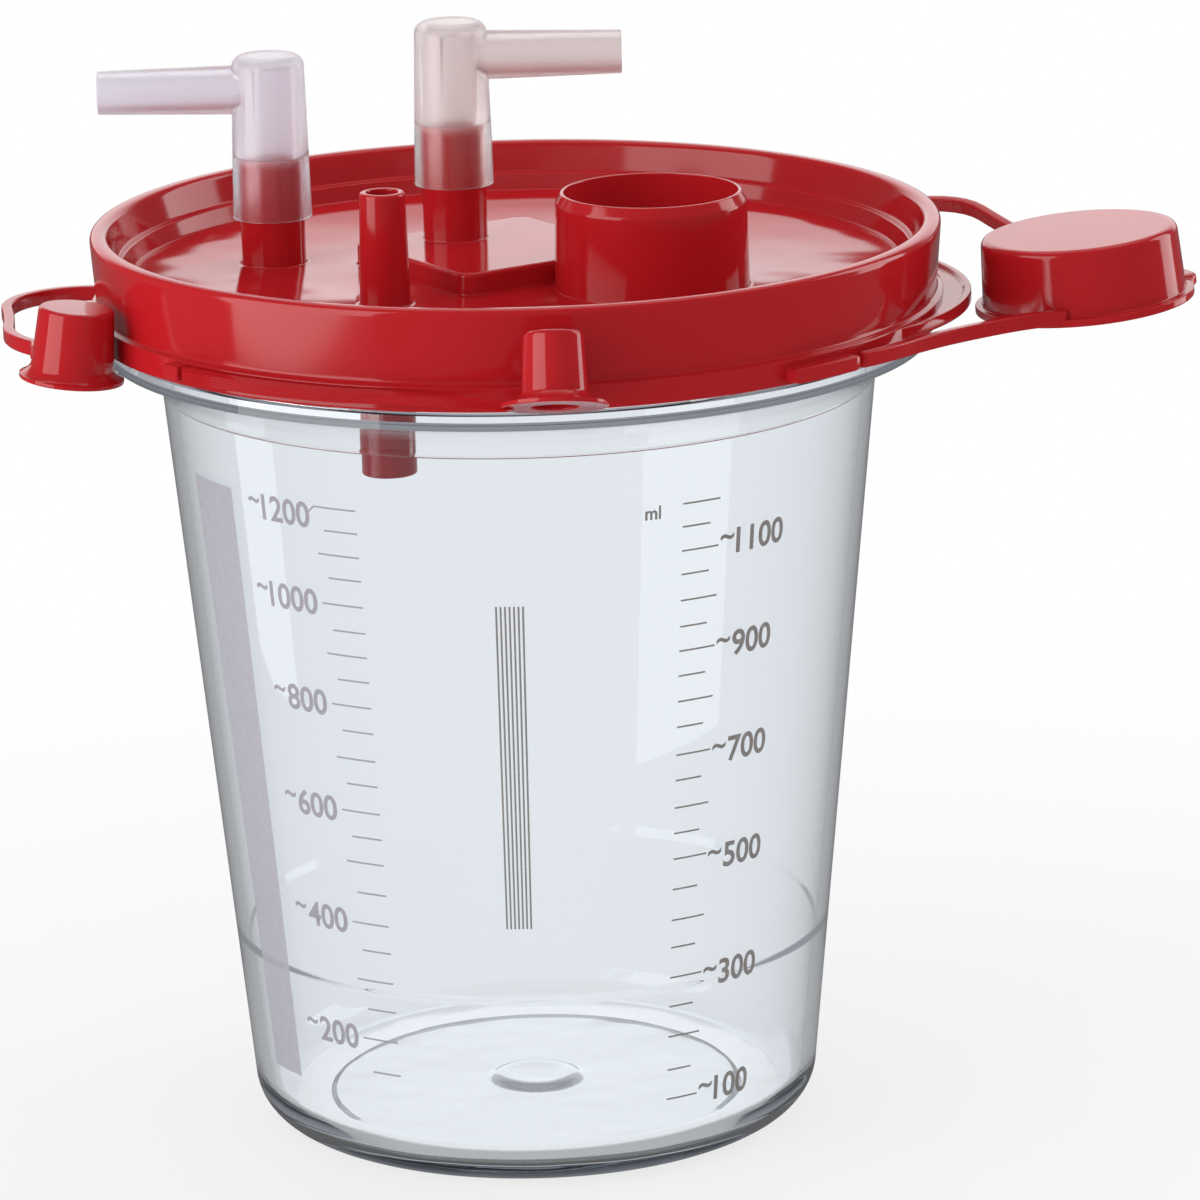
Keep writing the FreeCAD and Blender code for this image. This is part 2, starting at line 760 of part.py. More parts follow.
def tangent_arcs(start, heading, points):
    """Arcs that each leave the last one smoothly and pass through the next point."""
    arcs = []
    heading = FreeCAD.Vector(heading).normalize()
    for point in points:
        chord = point - start
        along = FreeCAD.Vector(chord).normalize()
        left = FreeCAD.Vector(-along.y, along.x, 0)
        lean = math.atan2(heading.dot(left), heading.dot(along))
        middle = (start + point) * 0.5 + left * (chord.Length / 2 * math.tan(lean / 2))
        if abs(lean) < 1e-4:
            arcs.append(Part.LineSegment(start, point))
        else:
            arcs.append(Part.Arc(start, middle, point))
        heading = along * (2 * along.dot(heading)) - heading
        start = point
    return arcs


def strap(name, foot_z, start, heading, points, lift=0.0):
    """A flat strap of even width on edge, with round ends, the first one round its hinge.

    Its plane runs through both ends and tips up by the lift in degrees between them."""
    chord = points[-1] - start
    turn = math.degrees(math.atan2(chord.y, chord.x))
    level = FreeCAD.Rotation(FreeCAD.Vector(0, 0, 1), turn)
    plane = level.multiply(FreeCAD.Rotation(FreeCAD.Vector(1, 0, 0), lift))
    back = level.inverted()
    route = doc.addObject("Sketcher::SketchObject", name + "Route")
    local = [back.multVec(point - start) for point in points]
    route.addGeometry(tangent_arcs(FreeCAD.Vector(), back.multVec(heading), local), False)
    foot = FreeCAD.Vector(start.x, start.y, number_of(foot_z))
    route.Placement = FreeCAD.Placement(foot, plane)
    bind(route, "Placement.Base.z", foot_z)
    band = doc.addObject("Part::Offset2D", name + "Band")
    band.Source = route
    band.Value = (size.strap_thickness / 2).number
    bind(band, "Value", size.strap_thickness / 2)
    band.Mode = "Pipe"
    band.Join = "Arc"
    band.Fill = True
    solid = doc.addObject("Part::Extrusion", name)
    solid.Base = band
    solid.DirMode = "Custom"
    solid.Dir = plane.multVec(FreeCAD.Vector(0, 0, 1))
    solid.LengthFwd = size.strap_height.number
    bind(solid, "LengthFwd", size.strap_height)
    return solid


def joined(name, base, tools):
    whole = doc.addObject("Part::MultiFuse", name)
    whole.Label = name
    whole.Shapes = [base] + tools
    return whole


def small_cap(name, height, top_radius, foot_radius, flare_radius, port_radius):
    """A push-on cap with a flared mouth, mouth down."""
    body = new_body(name + "Cup")
    neck = foot_radius - (foot_radius - top_radius) * 0.2
    inner = port_radius + size.cap_fit
    turned(body, name + "Turned", [
        (inner + 0.4, 0.0),
        (flare_radius, 0.0),
        (flare_radius, 0.7),
        (neck, size.cap_flare_rise, flare_radius - neck + 1.0, "left"),
        (top_radius, height - 0.8),
        (top_radius - 0.8, height, 0.8, "right"),
        (0.0, height),
        (0.0, height - size.cap_wall),
        (inner, height - size.cap_wall),
        (inner, 0.4),
    ])
    return body


def tilted(body, x, y, z, tilt, axis):
    """Stand a cap at its mouth's middle, leaning about the X or the Y axis."""
    spin = FreeCAD.Rotation(axis, tilt.number)
    body.Placement = FreeCAD.Placement(FreeCAD.Vector(x.number, y.number, z.number), spin)
    bind(body, "Placement.Base.x", x)
    bind(body, "Placement.Base.y", y)
    bind(body, "Placement.Base.z", z)


def build_patient_cap():
    cup = small_cap("patient_cap", size.patient_cap_height, size.patient_cap_top_radius,
                    size.patient_cap_foot_radius, size.patient_cap_flare_radius, size.post_radius)
    x, y = polar(lip_radius + size.patient_cap_standoff, size.patient_cap_angle)
    tilted(cup, x, y, lid_foot_z - size.patient_cap_drop, size.patient_cap_tilt,
           FreeCAD.Vector(0, 1, 0))
    hinge = lip_point(size.root_reach + size.root_gap + size.strap_thickness / 2,
                      size.patient_hinge_angle)
    wall = size.patient_cap_foot_radius - 0.3
    meet = flat(x, y) + FreeCAD.Vector(wall.number * -0.88, wall.number * 0.475, 0)
    loop = along_route([(1.178, 171.2), (1.201, 178.1), (1.193, 187.5), (1.164, 196.5)])
    tether = strap("PatientStrap", strap_z, hinge, FreeCAD.Vector(-1, 0.1, 0), loop + [meet])
    return joined("patient_cap", cup, [tether])


def build_tandem_cap():
    cup = small_cap("tandem_cap", size.tandem_cap_height, size.tandem_cap_top_radius,
                    size.tandem_cap_foot_radius, size.tandem_cap_flare_radius,
                    size.tandem_top_radius)
    x, y = polar(lip_radius + size.tandem_cap_standoff, size.tandem_cap_angle)
    tilted(cup, x, y, lid_foot_z + size.tandem_cap_rise, size.tandem_cap_tilt,
           FreeCAD.Vector(1, 0, 0))
    hinge_angle = size.tandem_hinge_angle
    side = math.radians(hinge_angle.number)
    standoff = size.strap_gap + size.strap_thickness / 2
    meet = flat(x, y) + FreeCAD.Vector(1.2 - size.tandem_cap_flare_radius.number, 0, 0)
    tether = strap("TandemStrap", strap_z + size.tandem_strap_lift,
                   lip_point(standoff, hinge_angle),
                   FreeCAD.Vector(-math.sin(side), math.cos(side), 0),
                   [lip_point(standoff, 237.0), lip_point(standoff, 250.0), meet])
    return joined("tandem_cap", cup, [tether])


def build_pour_cap():
    body = new_body("pour_capCup")
    radius, height = size.pour_cap_radius, size.pour_cap_height
    inner = size.spout_radius + size.cap_fit
    crown = radius - size.pour_cap_taper
    turned(body, "PourCapTurned", [
        (inner + 0.3, 0.0),
        (size.pour_cap_flange_radius, 0.0),
        (size.pour_cap_flange_radius, size.pour_cap_flange),
        (radius, size.pour_cap_flange),
        (crown, height - size.pour_cap_round),
        (crown - size.pour_cap_round, height, size.pour_cap_round, "right"),
        (0.0, height),
        (0.0, height - size.cap_wall),
        (inner - size.spout_bevel, height - size.cap_wall),
        (inner, height - size.cap_wall - size.spout_bevel_height),
        (inner, 0.3),
    ])
    tab = new_sketch(body, "PullTabOutline", turn=size.pour_tab_angle)
    sector(tab, inner + size.cap_wall / 2, size.pour_cap_flange_radius + size.pour_tab_reach,
           -size.pour_tab_spread, size.pour_tab_spread)
    pad(body, "PullTab", tab, size.pour_tab_height)
    x, y = polar(lip_radius + size.pour_cap_standoff, size.pour_cap_angle)
    tilted(body, x, y, lid_foot_z + size.pour_cap_rise, size.pour_cap_tilt,
           FreeCAD.Vector(0, 1, 0))
    middle = flat(x, y)
    edge = size.pour_cap_flange_radius.number
    standoff = size.strap_gap + size.strap_thickness / 2
    hinge_angle = size.pour_hinge_angle
    front = strap("FrontStrap", strap_z, lip_point(standoff, -hinge_angle),
                  FreeCAD.Vector(0.75, 0.66, 0),
                  along_route([(1.044, -33.0), (1.09, -24.5), (1.176, -17.4)])
                  + [middle + FreeCAD.Vector(-0.28, -0.9, 0) * edge])
    rear = strap("RearStrap", strap_z, lip_point(standoff, hinge_angle),
                 FreeCAD.Vector(0.42, 0.91, 0),
                 along_route([(1.325, 29.9)]) + [middle + FreeCAD.Vector(0.15, 0.95, 0) * edge],
                 lift=size.rear_strap_lift.number)
    return joined("pour_cap", body, [front, rear])


# The whole canister

patient_foot_z = deck_z + size.patient_post_height - size.elbow_seat_depth
vacuum_foot_z = boss_top_z + size.vacuum_post_height - size.elbow_seat_depth

pieces = [
    build_canister(),
    build_lid(),
    build_filter_membrane(),
    build_filter_retainer(),
    build_elbow("patient_elbow", size.patient_x, size.patient_y, patient_foot_z, 180.0),
    build_elbow("vacuum_elbow", size.vacuum_x, size.vacuum_y, vacuum_foot_z, 0.0),
    build_patient_cap(),
    build_tandem_cap(),
    build_pour_cap(),
]
doc.recompute()

faults = [thing.Name for thing in doc.Objects
          if "Invalid" in thing.State or "Error" in thing.State]
if faults:
    raise RuntimeError("These objects failed: " + ", ".join(faults))
for piece in pieces:
    if piece.Shape.isNull() or not piece.Shape.isValid() or len(piece.Shape.Solids) != 1:
        raise RuntimeError(f"{piece.Label} is not one valid solid")

os.makedirs("parts", exist_ok=True)
for piece in pieces:
    piece.Shape.exportStep(f"parts/{piece.Label}.step")
    print(piece.Label, round(piece.Shape.Volume, 1), "mm3")
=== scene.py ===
import math

import bmesh
import bpy
from mathutils import Matrix, Vector


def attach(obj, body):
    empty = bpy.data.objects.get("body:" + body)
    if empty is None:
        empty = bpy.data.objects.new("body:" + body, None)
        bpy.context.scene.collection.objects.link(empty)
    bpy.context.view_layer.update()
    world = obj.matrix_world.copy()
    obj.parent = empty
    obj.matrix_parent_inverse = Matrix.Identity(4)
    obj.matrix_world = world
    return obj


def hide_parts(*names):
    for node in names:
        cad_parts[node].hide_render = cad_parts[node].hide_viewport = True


# Suction canister: finishes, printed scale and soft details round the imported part.
# Metres. Z is up and -Y is the side with the scale.

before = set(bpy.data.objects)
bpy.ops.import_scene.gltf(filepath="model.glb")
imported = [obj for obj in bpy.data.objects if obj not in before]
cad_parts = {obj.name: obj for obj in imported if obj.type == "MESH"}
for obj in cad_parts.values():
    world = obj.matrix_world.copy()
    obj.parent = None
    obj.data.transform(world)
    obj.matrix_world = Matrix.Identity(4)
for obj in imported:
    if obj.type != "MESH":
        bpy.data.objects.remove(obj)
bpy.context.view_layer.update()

MM = 0.001
STEPS = 192

# Jar sizes in millimetres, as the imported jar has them: (radius, height) points and thicknesses

WALL_LOW = (51.9, 8.1)
WALL_HIGH = (64.3, 137.5)
WALL = 2.0
LOW_WALL = 2.6
RING_HEIGHT = 36.5
FOOT_RADIUS = 45.5
FOOT_RECESS = 0.9
FLOOR_TOP = 3.9
FLOOR_ROUND = 6.0
FLARE_TOP = (73.2, 144.4)
FLARE_ROUND = 14.4
RIM_TOP = 158.9

# Heights in millimetres of the tops of the lid's two posts

PATIENT_TOP = 176.9
VACUUM_TOP = 182.3


# Mesh helpers

def new_piece(name, shape, materials, body, replaced=()):
    """Make an object from a bmesh, give it its finish and let it ride on a body."""
    mesh = bpy.data.meshes.new(name)
    shape.to_mesh(mesh)
    shape.free()
    piece = bpy.data.objects.new(name, mesh)
    bpy.context.scene.collection.objects.link(piece)
    for material in materials:
        mesh.materials.append(material)
    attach(piece, body)
    if replaced:
        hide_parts(*replaced)
    return piece


def shade_smooth(piece, angle=40):
    """Smooth shading that keeps edges sharp above an angle in degrees."""
    for face in piece.data.polygons:
        face.use_smooth = True
    piece.data.set_sharp_from_angle(angle=math.radians(angle))
    even = piece.modifiers.new("even_normals", "WEIGHTED_NORMAL")
    even.keep_sharp = True


def arc(start, end, radius, side, steps=10):
    """Points of a round stretch in a section, from start to end, bulging to one side."""
    start, end = Vector(start), Vector(end)
    chord = end - start
    across = Vector((-chord.y, chord.x)).normalized() * side
    depth = math.sqrt(max(radius ** 2 - (chord.length / 2) ** 2, 0))
    centre = (start + end) / 2 - across * depth
    first, last = start - centre, end - centre
    turn = first.angle_signed(last)
    points = []
    for step in range(1, steps + 1):
        angle = -turn * step / steps
        points.append(tuple(centre + Matrix.Rotation(angle, 2) @ first))
    return points


def lathe(points, steps=STEPS):
    """Spin a closed section of (radius, height) points about the upright axis."""
    shape = bmesh.new()
    ring = [shape.verts.new((x, 0, z)) for x, z in points]
    edges = [shape.edges.new((a, b)) for a, b in zip(ring, ring[1:])]
    if points[0][0] > 1e-6 and points[-1][0] > 1e-6:
        edges.append(shape.edges.new((ring[-1], ring[0])))
    bmesh.ops.spin(shape, geom=ring + edges, axis=(0, 0, 1), cent=(0, 0, 0),
                   angle=math.tau, steps=steps, use_merge=True)
    bmesh.ops.remove_doubles(shape, verts=shape.verts, dist=1e-7)
    bmesh.ops.recalc_face_normals(shape, faces=shape.faces)
    return shape


def section(points, steps=5):
    """A section line through (radius, height) points in millimetres.

    A third number rounds that corner."""
    line = []
    for index, point in enumerate(points):
        here = Vector(point[:2])
        if len(point) == 2 or index in (0, len(points) - 1):
            line.append(tuple(here))
            continue
        before = Vector(points[index - 1][:2]) - here
        after = Vector(points[index + 1][:2]) - here
        half = before.angle(after) / 2
        reach = point[2] / math.tan(half)
        reach = min(reach, before.length * 0.49, after.length * 0.49)
        start = here + before.normalized() * reach
        end = here + after.normalized() * reach
        for step in range(steps + 1):
            share = step / steps
            spot = start * (1 - share) ** 2 + here * (2 * share * (1 - share)) + end * share ** 2
            line.append(tuple(spot))
    return line


def spun(shape, line, centre=(0.0, 0.0), steps=STEPS):
    """Spin an open section line, in millimetres, about an upright axis, into a bmesh."""
    x, y = centre[0] * MM, centre[1] * MM
    verts = [shape.verts.new((x + radius * MM, y, height * MM)) for radius, height in line]
    edges = [shape.edges.new((a, b)) for a, b in zip(verts, verts[1:])]
    bmesh.ops.spin(shape, geom=verts + edges, axis=(0, 0, 1), cent=(x, y, 0),
                   angle=math.tau, steps=steps, use_merge=True)


def hoop(shape, radius, height, centre=(0.0, 0.0), steps=STEPS):
    """A ring of edges whose corners meet those of a piece spun about the same axis."""
    place = Matrix.Translation(Vector((*centre, height)) * MM)
    made = bmesh.ops.create_circle(shape, segments=steps, radius=radius * MM, matrix=place)
    edges = []
    for vert in made["verts"]:
        edges += [edge for edge in vert.link_edges if edge not in edges]
    return edges


def looped(shape, verts):
    return [shape.edges.new((a, b)) for a, b in zip(verts, verts[1:] + verts[:1])]


def plate(shape, loops):
    """A flat face with holes, from its outer ring of edges and the rings of its holes."""
    edges = [edge for loop in loops for edge in loop]
    filled = bmesh.ops.triangle_fill(shape, use_beauty=True, use_dissolve=False, edges=edges)
    return [item for item in filled["geom"] if isinstance(item, bmesh.types.BMFace)]


def weld(shape):
    bmesh.ops.remove_doubles(shape, verts=shape.verts, dist=2e-6)
    bmesh.ops.recalc_face_normals(shape, faces=shape.faces)


def follow(verts, order, row):
    """Move an extruded ring on to the next row of points, each by its number."""
    for vert in verts:
        vert.co = Vector(row[vert[order]]) * MM


def first_ring(shape, row):
    """Points of a ring, numbered so that their extruded copies know their place."""
    order = shape.verts.layers.int.new("order")
    verts = [shape.verts.new(Vector(point) * MM) for point in row]
    for index, vert in enumerate(verts):
        vert[order] = index
    return order, verts


def swept(rows):
    """A solid extruded through rows of points, each row a closed ring across its way."""
    shape = bmesh.new()
    order, verts = first_ring(shape, rows[0])
    face = shape.faces.new(verts)
    for row in rows[1:]:
        made = bmesh.ops.extrude_face_region(shape, geom=[face])["geom"]
        face = next(item for item in made if isinstance(item, bmesh.types.BMFace))
        follow(face.verts, order, row)
    bmesh.ops.recalc_face_normals(shape, faces=shape.faces)
    return shape


def smooth_copy(node, name, material, body):
    """A welded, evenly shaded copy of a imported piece, which stands for it."""
    shape = bmesh.new()
    shape.from_mesh(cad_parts[node].data)
    bmesh.ops.remove_doubles(shape, verts=shape.verts, dist=2e-6)
    piece = new_piece(name, shape, [material], body, [node])
    shade_smooth(piece, 32)


# Material helpers

def new_material(name):
    material = bpy.data.materials.new(name)
    material.use_nodes = True
    tree = material.node_tree
    shader = tree.nodes["Principled BSDF"]
    return material, tree, shader


def linear(red, green, blue):
    """A colour read off as it looks on a screen, 0 to 255, as the shader wants it."""
    def one(value):
        value /= 255
        return value / 12.92 if value <= 0.04045 else ((value + 0.055) / 1.055) ** 2.4
    return one(red), one(green), one(blue), 1.0


def noise(tree, scale, detail=3.0):
    """A cloudy pattern that is fixed to the piece."""
    place = tree.nodes.new("ShaderNodeTexCoord")
    texture = tree.nodes.new("ShaderNodeTexNoise")
    texture.inputs["Scale"].default_value = scale
    texture.inputs["Detail"].default_value = detail
    tree.links.new(place.outputs["Object"], texture.inputs["Vector"])
    return texture


def bump(tree, shader, height, distance, strength=1.0):
    node = tree.nodes.new("ShaderNodeBump")
    node.inputs["Distance"].default_value = distance
    node.inputs["Strength"].default_value = strength
    tree.links.new(height, node.inputs["Height"])
    tree.links.new(node.outputs["Normal"], shader.inputs["Normal"])


def height_in(tree):
    """The height of a spot on the piece, in metres."""
    place = tree.nodes.new("ShaderNodeTexCoord")
    parts = tree.nodes.new("ShaderNodeSeparateXYZ")
    tree.links.new(place.outputs["Object"], parts.inputs[0])
    return parts.outputs["Z"]


def blend(tree, share, first, second):
    """The first shader where a share is 0, the second where it is 1."""
    mix = tree.nodes.new("ShaderNodeMixShader")
    tree.links.new(share, mix.inputs[0])
    tree.links.new(first, mix.inputs[1])
    tree.links.new(second, mix.inputs[2])
    return mix.outputs[0]


def spread(tree, value, low, high):
    """Map a noise to a range, for roughness or a factor."""
    node = tree.nodes.new("ShaderNodeMapRange")
    node.inputs["From Min"].default_value = 0.3
    node.inputs["From Max"].default_value = 0.7
    node.inputs["To Min"].default_value = low
    node.inputs["To Max"].default_value = high
    tree.links.new(value, node.inputs["Value"])
    return node.outputs["Result"]


def ray_is(tree, *kinds):
    """One where a ray is of any of these kinds."""
    path = tree.nodes.new("ShaderNodeLightPath")
    result = path.outputs[kinds[0]]
    for kind in kinds[1:]:
        most = tree.nodes.new("ShaderNodeMath")
        most.operation = "MAXIMUM"
        tree.links.new(result, most.inputs[0])
        tree.links.new(path.outputs[kind], most.inputs[1])
        result = most.outputs[0]
    return result


def reflected(tree):
    """One where a ray has been mirrored on its way and isn't scattered since."""
    path = tree.nodes.new("ShaderNodeLightPath")
    seen = tree.nodes.new("ShaderNodeMath")
    seen.operation = "SUBTRACT"
    seen.use_clamp = True
    tree.links.new(path.outputs["Glossy Depth"], seen.inputs[0])
    tree.links.new(path.outputs["Is Diffuse Ray"], seen.inputs[1])
    return seen.outputs[0]


def mapped(tree, value, from_low, from_high, to_low, to_high):
    """Map a range of values smoothly to another."""
    node = tree.nodes.new("ShaderNodeMapRange")
    node.interpolation_type = "SMOOTHSTEP"
    node.inputs["From Min"].default_value = from_low
    node.inputs["From Max"].default_value = from_high
    node.inputs["To Min"].default_value = to_low
    node.inputs["To Max"].default_value = to_high
    tree.links.new(value, node.inputs["Value"])
    return node.outputs["Result"]


# Finishes. A clear or milky one lets light through by kind of ray, and the jar's ends long paths in a
# painted pale grey glow.

LONGEST_PATH = 4.5
CLEAR_TINT = (0.78, 0.79, 0.8, 1)
MILKY_TINT = (0.97, 0.95, 0.96, 1)
INK_GLOW = 0.3
DISH = 0.0092
WAVE = 0.0007


def lets_light_through(tree, shader, share, tint):
    """Let a share of the lamps' light pass to what stands behind or inside, with a tint."""
    clear = tree.nodes.new("ShaderNodeBsdfTransparent")
    clear.inputs["Color"].default_value = tint
    amount = tree.nodes.new("ShaderNodeMath")
    amount.operation = "MULTIPLY"
    amount.inputs[1].default_value = share
    tree.links.new(ray_is(tree, "Is Shadow Ray", "Is Diffuse Ray"), amount.inputs[0])
    surface = blend(tree, amount.outputs[0], shader.outputs[0], clear.outputs[0])
    tree.links.new(surface, tree.nodes["Material Output"].inputs["Surface"])


def end_long_paths(tree):
    """Where light bounces on and on in the clear rim, the surface glows a painted pale grey instead of
    going black.
    """
    output = tree.nodes["Material Output"]
    surface = output.inputs["Surface"].links[0].from_socket
    path = tree.nodes.new("ShaderNodeLightPath")
    long = tree.nodes.new("ShaderNodeMath")
    long.operation = "GREATER_THAN"
    long.inputs[1].default_value = LONGEST_PATH
    tree.links.new(path.outputs["Ray Depth"], long.inputs[0])
    # Painted glow: a pale grey emission stands in for the light that long paths would bring.
    painted_glow = tree.nodes.new("ShaderNodeEmission")
    painted_glow.inputs["Color"].default_value = (0.5, 0.5, 0.53, 1)
    tree.links.new(blend(tree, long.outputs[0], surface, painted_glow.outputs[0]), output.inputs["Surface"])


def clear_jar_finish():
    """Clear plastic: grey where it is thick, with ripples in its foot."""
    material, tree, shader = new_material("clear_styrene")
    shader.inputs["Base Color"].default_value = (0.96, 0.983, 1.0, 1.0)
    shader.inputs["Transmission Weight"].default_value = 1.0
    shader.inputs["Specular IOR Level"].default_value = 0.28
    shader.inputs["IOR"].default_value = 1.5
    depth = tree.nodes.new("ShaderNodeVolumeAbsorption")
    depth.inputs["Color"].default_value = (0.74, 0.755, 0.77, 1)
    depth.inputs["Density"].default_value = 90.0
    tree.links.new(depth.outputs[0], tree.nodes["Material Output"].inputs["Volume"])
    flow = noise(tree, 38.0, 1.5)
    tree.links.new(spread(tree, flow.outputs["Fac"], 0.0, 0.03), shader.inputs["Roughness"])
    ripple = tree.nodes.new("ShaderNodeMath")
    ripple.operation = "MULTIPLY"
    tree.links.new(flow.outputs["Fac"], ripple.inputs[0])
    tree.links.new(mapped(tree, height_in(tree), 0.004, 0.03, 0.0009, 0.00001), ripple.inputs[1])
    bump(tree, shader, ripple.outputs[0], 1.0)
    lets_light_through(tree, shader, 1.0, CLEAR_TINT)
    # Painted pale grey glow where the jar's ray paths run long.
    end_long_paths(tree)
    return material


def red_finish(name):
    """Glossy red plastic, very slightly uneven in its tone."""
    material, tree, shader = new_material(name)
    tone = noise(tree, 22.0)
    mix = tree.nodes.new("ShaderNodeMix")
    mix.data_type = "RGBA"
    mix.inputs["A"].default_value = linear(182, 28, 33)
    mix.inputs["B"].default_value = linear(192, 30, 36)
    tree.links.new(tone.outputs["Fac"], mix.inputs["Factor"])
    tree.links.new(mix.outputs["Result"], shader.inputs["Base Color"])
    shader.inputs["IOR"].default_value = 1.5
    shader.inputs["Subsurface Weight"].default_value = 0.04
    shader.inputs["Subsurface Radius"].default_value = (1.0, 0.15, 0.1)
    shader.inputs["Subsurface Scale"].default_value = 0.0015
    tree.links.new(spread(tree, tone.outputs["Fac"], 0.07, 0.12), shader.inputs["Roughness"])
    return material


def deck_finish():
    """The red of the deck, which sinks a little towards its middle and is slightly wavy."""
    material = red_finish("red_deck")
    tree = material.node_tree
    shader = tree.nodes["Principled BSDF"]
    place = tree.nodes.new("ShaderNodeTexCoord")
    level = tree.nodes.new("ShaderNodeVectorMath")
    level.operation = "MULTIPLY"
    level.inputs[1].default_value = (1, 1, 0)
    tree.links.new(place.outputs["Object"], level.inputs[0])
    reach = tree.nodes.new("ShaderNodeVectorMath")
    reach.operation = "LENGTH"
    tree.links.new(level.outputs[0], reach.inputs[0])
    dish = mapped(tree, reach.outputs["Value"], 0.03, 0.1, 0.0, DISH)
    wave = tree.nodes.new("ShaderNodeMath")
    wave.operation = "MULTIPLY_ADD"
    tree.links.new(noise(tree, 42.0, 1.0).outputs["Fac"], wave.inputs[0])
    wave.inputs[1].default_value = WAVE
    tree.links.new(dish, wave.inputs[2])
    bump(tree, shader, wave.outputs[0], 1.0)
    return material


def milky_finish(name, filled_to, colour):
    """Milky plastic, clearer up to the height in millimetres to which a post fills its socket."""
    material, tree, shader = new_material(name)
    shader.inputs["Base Color"].default_value = colour
    shader.inputs["IOR"].default_value = 1.46
    height = height_in(tree)
    start, end = (filled_to - 1.8) * MM, (filled_to + 1.2) * MM
    tree.links.new(mapped(tree, height, start, end, 0.985, 0.74), shader.inputs["Transmission Weight"])
    tree.links.new(mapped(tree, height, start, end, 0.2, 0.3), shader.inputs["Roughness"])
    lets_light_through(tree, shader, 0.85, MILKY_TINT)
    return material


def membrane_finish():
    """Rough white filter paper."""
    material, tree, shader = new_material("filter_media")
    shader.inputs["Base Color"].default_value = (0.86, 0.86, 0.83, 1.0)
    fibre = noise(tree, 2400.0, 4.0)
    tree.links.new(spread(tree, fibre.outputs["Fac"], 0.7, 0.95), shader.inputs["Roughness"])
    bump(tree, shader, fibre.outputs["Fac"], 0.00008, 0.8)
    return material


def ink_finish(name, colour, cover):
    """Screen-print ink, slightly patchy, so thin that light from behind shows in it."""
    material, tree, shader = new_material(name)
    glow = tree.nodes.new("ShaderNodeBsdfTranslucent")
    glow.inputs["Color"].default_value = colour
    mix = tree.nodes.new("ShaderNodeMixShader")
    mix.inputs[0].default_value = INK_GLOW
    tree.links.new(shader.outputs[0], mix.inputs[1])
    tree.links.new(glow.outputs[0], mix.inputs[2])
    tree.links.new(mix.outputs[0], tree.nodes["Material Output"].inputs["Surface"])
    patch = noise(tree, 700.0, 2.0)
    shader.inputs["Base Color"].default_value = colour
    shader.inputs["Roughness"].default_value = 0.5
    tree.links.new(spread(tree, patch.outputs["Fac"], cover - 0.06, cover + 0.04),
                   shader.inputs["Alpha"])
    return material


CLEAR = clear_jar_finish()
RED = red_finish("red_polyethylene")
RED_DECK = deck_finish()
MILKY_LEFT = milky_finish("milky_plastic_left", PATIENT_TOP, linear(242, 239, 246))
MILKY_RIGHT = milky_finish("milky_plastic_right", VACUUM_TOP, linear(243, 235, 234))
MEMBRANE = membrane_finish()
LEFT_INK = ink_finish("lilac_grey_ink", linear(176, 170, 184), 0.9)
RIGHT_INK = ink_finish("warm_grey_ink", linear(150, 144, 139), 0.92)
FROST = ink_finish("frosted_band", linear(198, 195, 204), 0.8)


# Jar

def wall_radius(height):
    """The outer radius of the jar's wall at a height, both in millimetres."""
    share = (height - WALL_LOW[1]) / (WALL_HIGH[1] - WALL_LOW[1])
    return WALL_LOW[0] + (WALL_HIGH[0] - WALL_LOW[0]) * share


def jar_section():
    """Half of the jar's section, from the middle of its underside round to its floor.

    Its last points are the moulding's gate mark in the middle of the floor."""
    foot, recess, floor = FOOT_RADIUS, FOOT_RECESS, FLOOR_TOP
    ring, corner = wall_radius(RING_HEIGHT), floor + FLOOR_ROUND
    inner_low = wall_radius(corner) - LOW_WALL
    neck_radius, neck_base = FLARE_TOP
    inner_neck = neck_radius - WALL
    flange_radius = neck_radius + 1.0
    points = [(0.0, recess), (20.0, recess), (foot - 8.4, recess), (foot - 7.5, 0.0), (foot, 0.0)]
    points += arc(points[-1], WALL_LOW, 8.6, -1)
    points += [(WALL_HIGH[0] - 0.03, WALL_HIGH[1] - 0.3), (WALL_HIGH[0] + 0.2, WALL_HIGH[1] - 0.08)]
    points += arc(points[-1], FLARE_TOP, FLARE_ROUND, 1)
    points += [(flange_radius, neck_base), (flange_radius, neck_base + 2.6),
               (neck_radius, neck_base + 3.0), (neck_radius, RIM_TOP - 0.6),
               (neck_radius - 0.6, RIM_TOP), (inner_neck, RIM_TOP), (inner_neck, neck_base + 1.0)]
    points += arc(points[-1], (WALL_HIGH[0] - WALL, WALL_HIGH[1]), FLARE_ROUND, -1)
    points += [(ring - WALL, RING_HEIGHT + 0.5), (ring - 2.1, RING_HEIGHT), (ring - 2.3, RING_HEIGHT - 0.5),
               (ring - 2.5, RING_HEIGHT - 1.0), (ring - LOW_WALL, RING_HEIGHT - 1.5), (inner_low, corner)]
    points += arc(points[-1], (inner_low - FLOOR_ROUND, floor), FLOOR_ROUND, 1)
    points += [(20.0, floor), (9.6, floor), (8.6, floor + 0.1), (7.8, floor + 0.45)]
    points += [(7.0, floor + 0.75), (6.0, floor + 0.85), (4.6, floor + 0.8), (0.0, floor + 0.5)]
    return [(x * MM, z * MM) for x, z in points]


def make_jar():
    shape = lathe(jar_section(), 256)
    jar = new_piece("clear_jar", shape, [CLEAR], "jar_body", ["canister"])
    shade_smooth(jar, 24)


# Print on the jar, drawn in millimetres

PRINT_LIFT = 0.04
LINE = 0.33


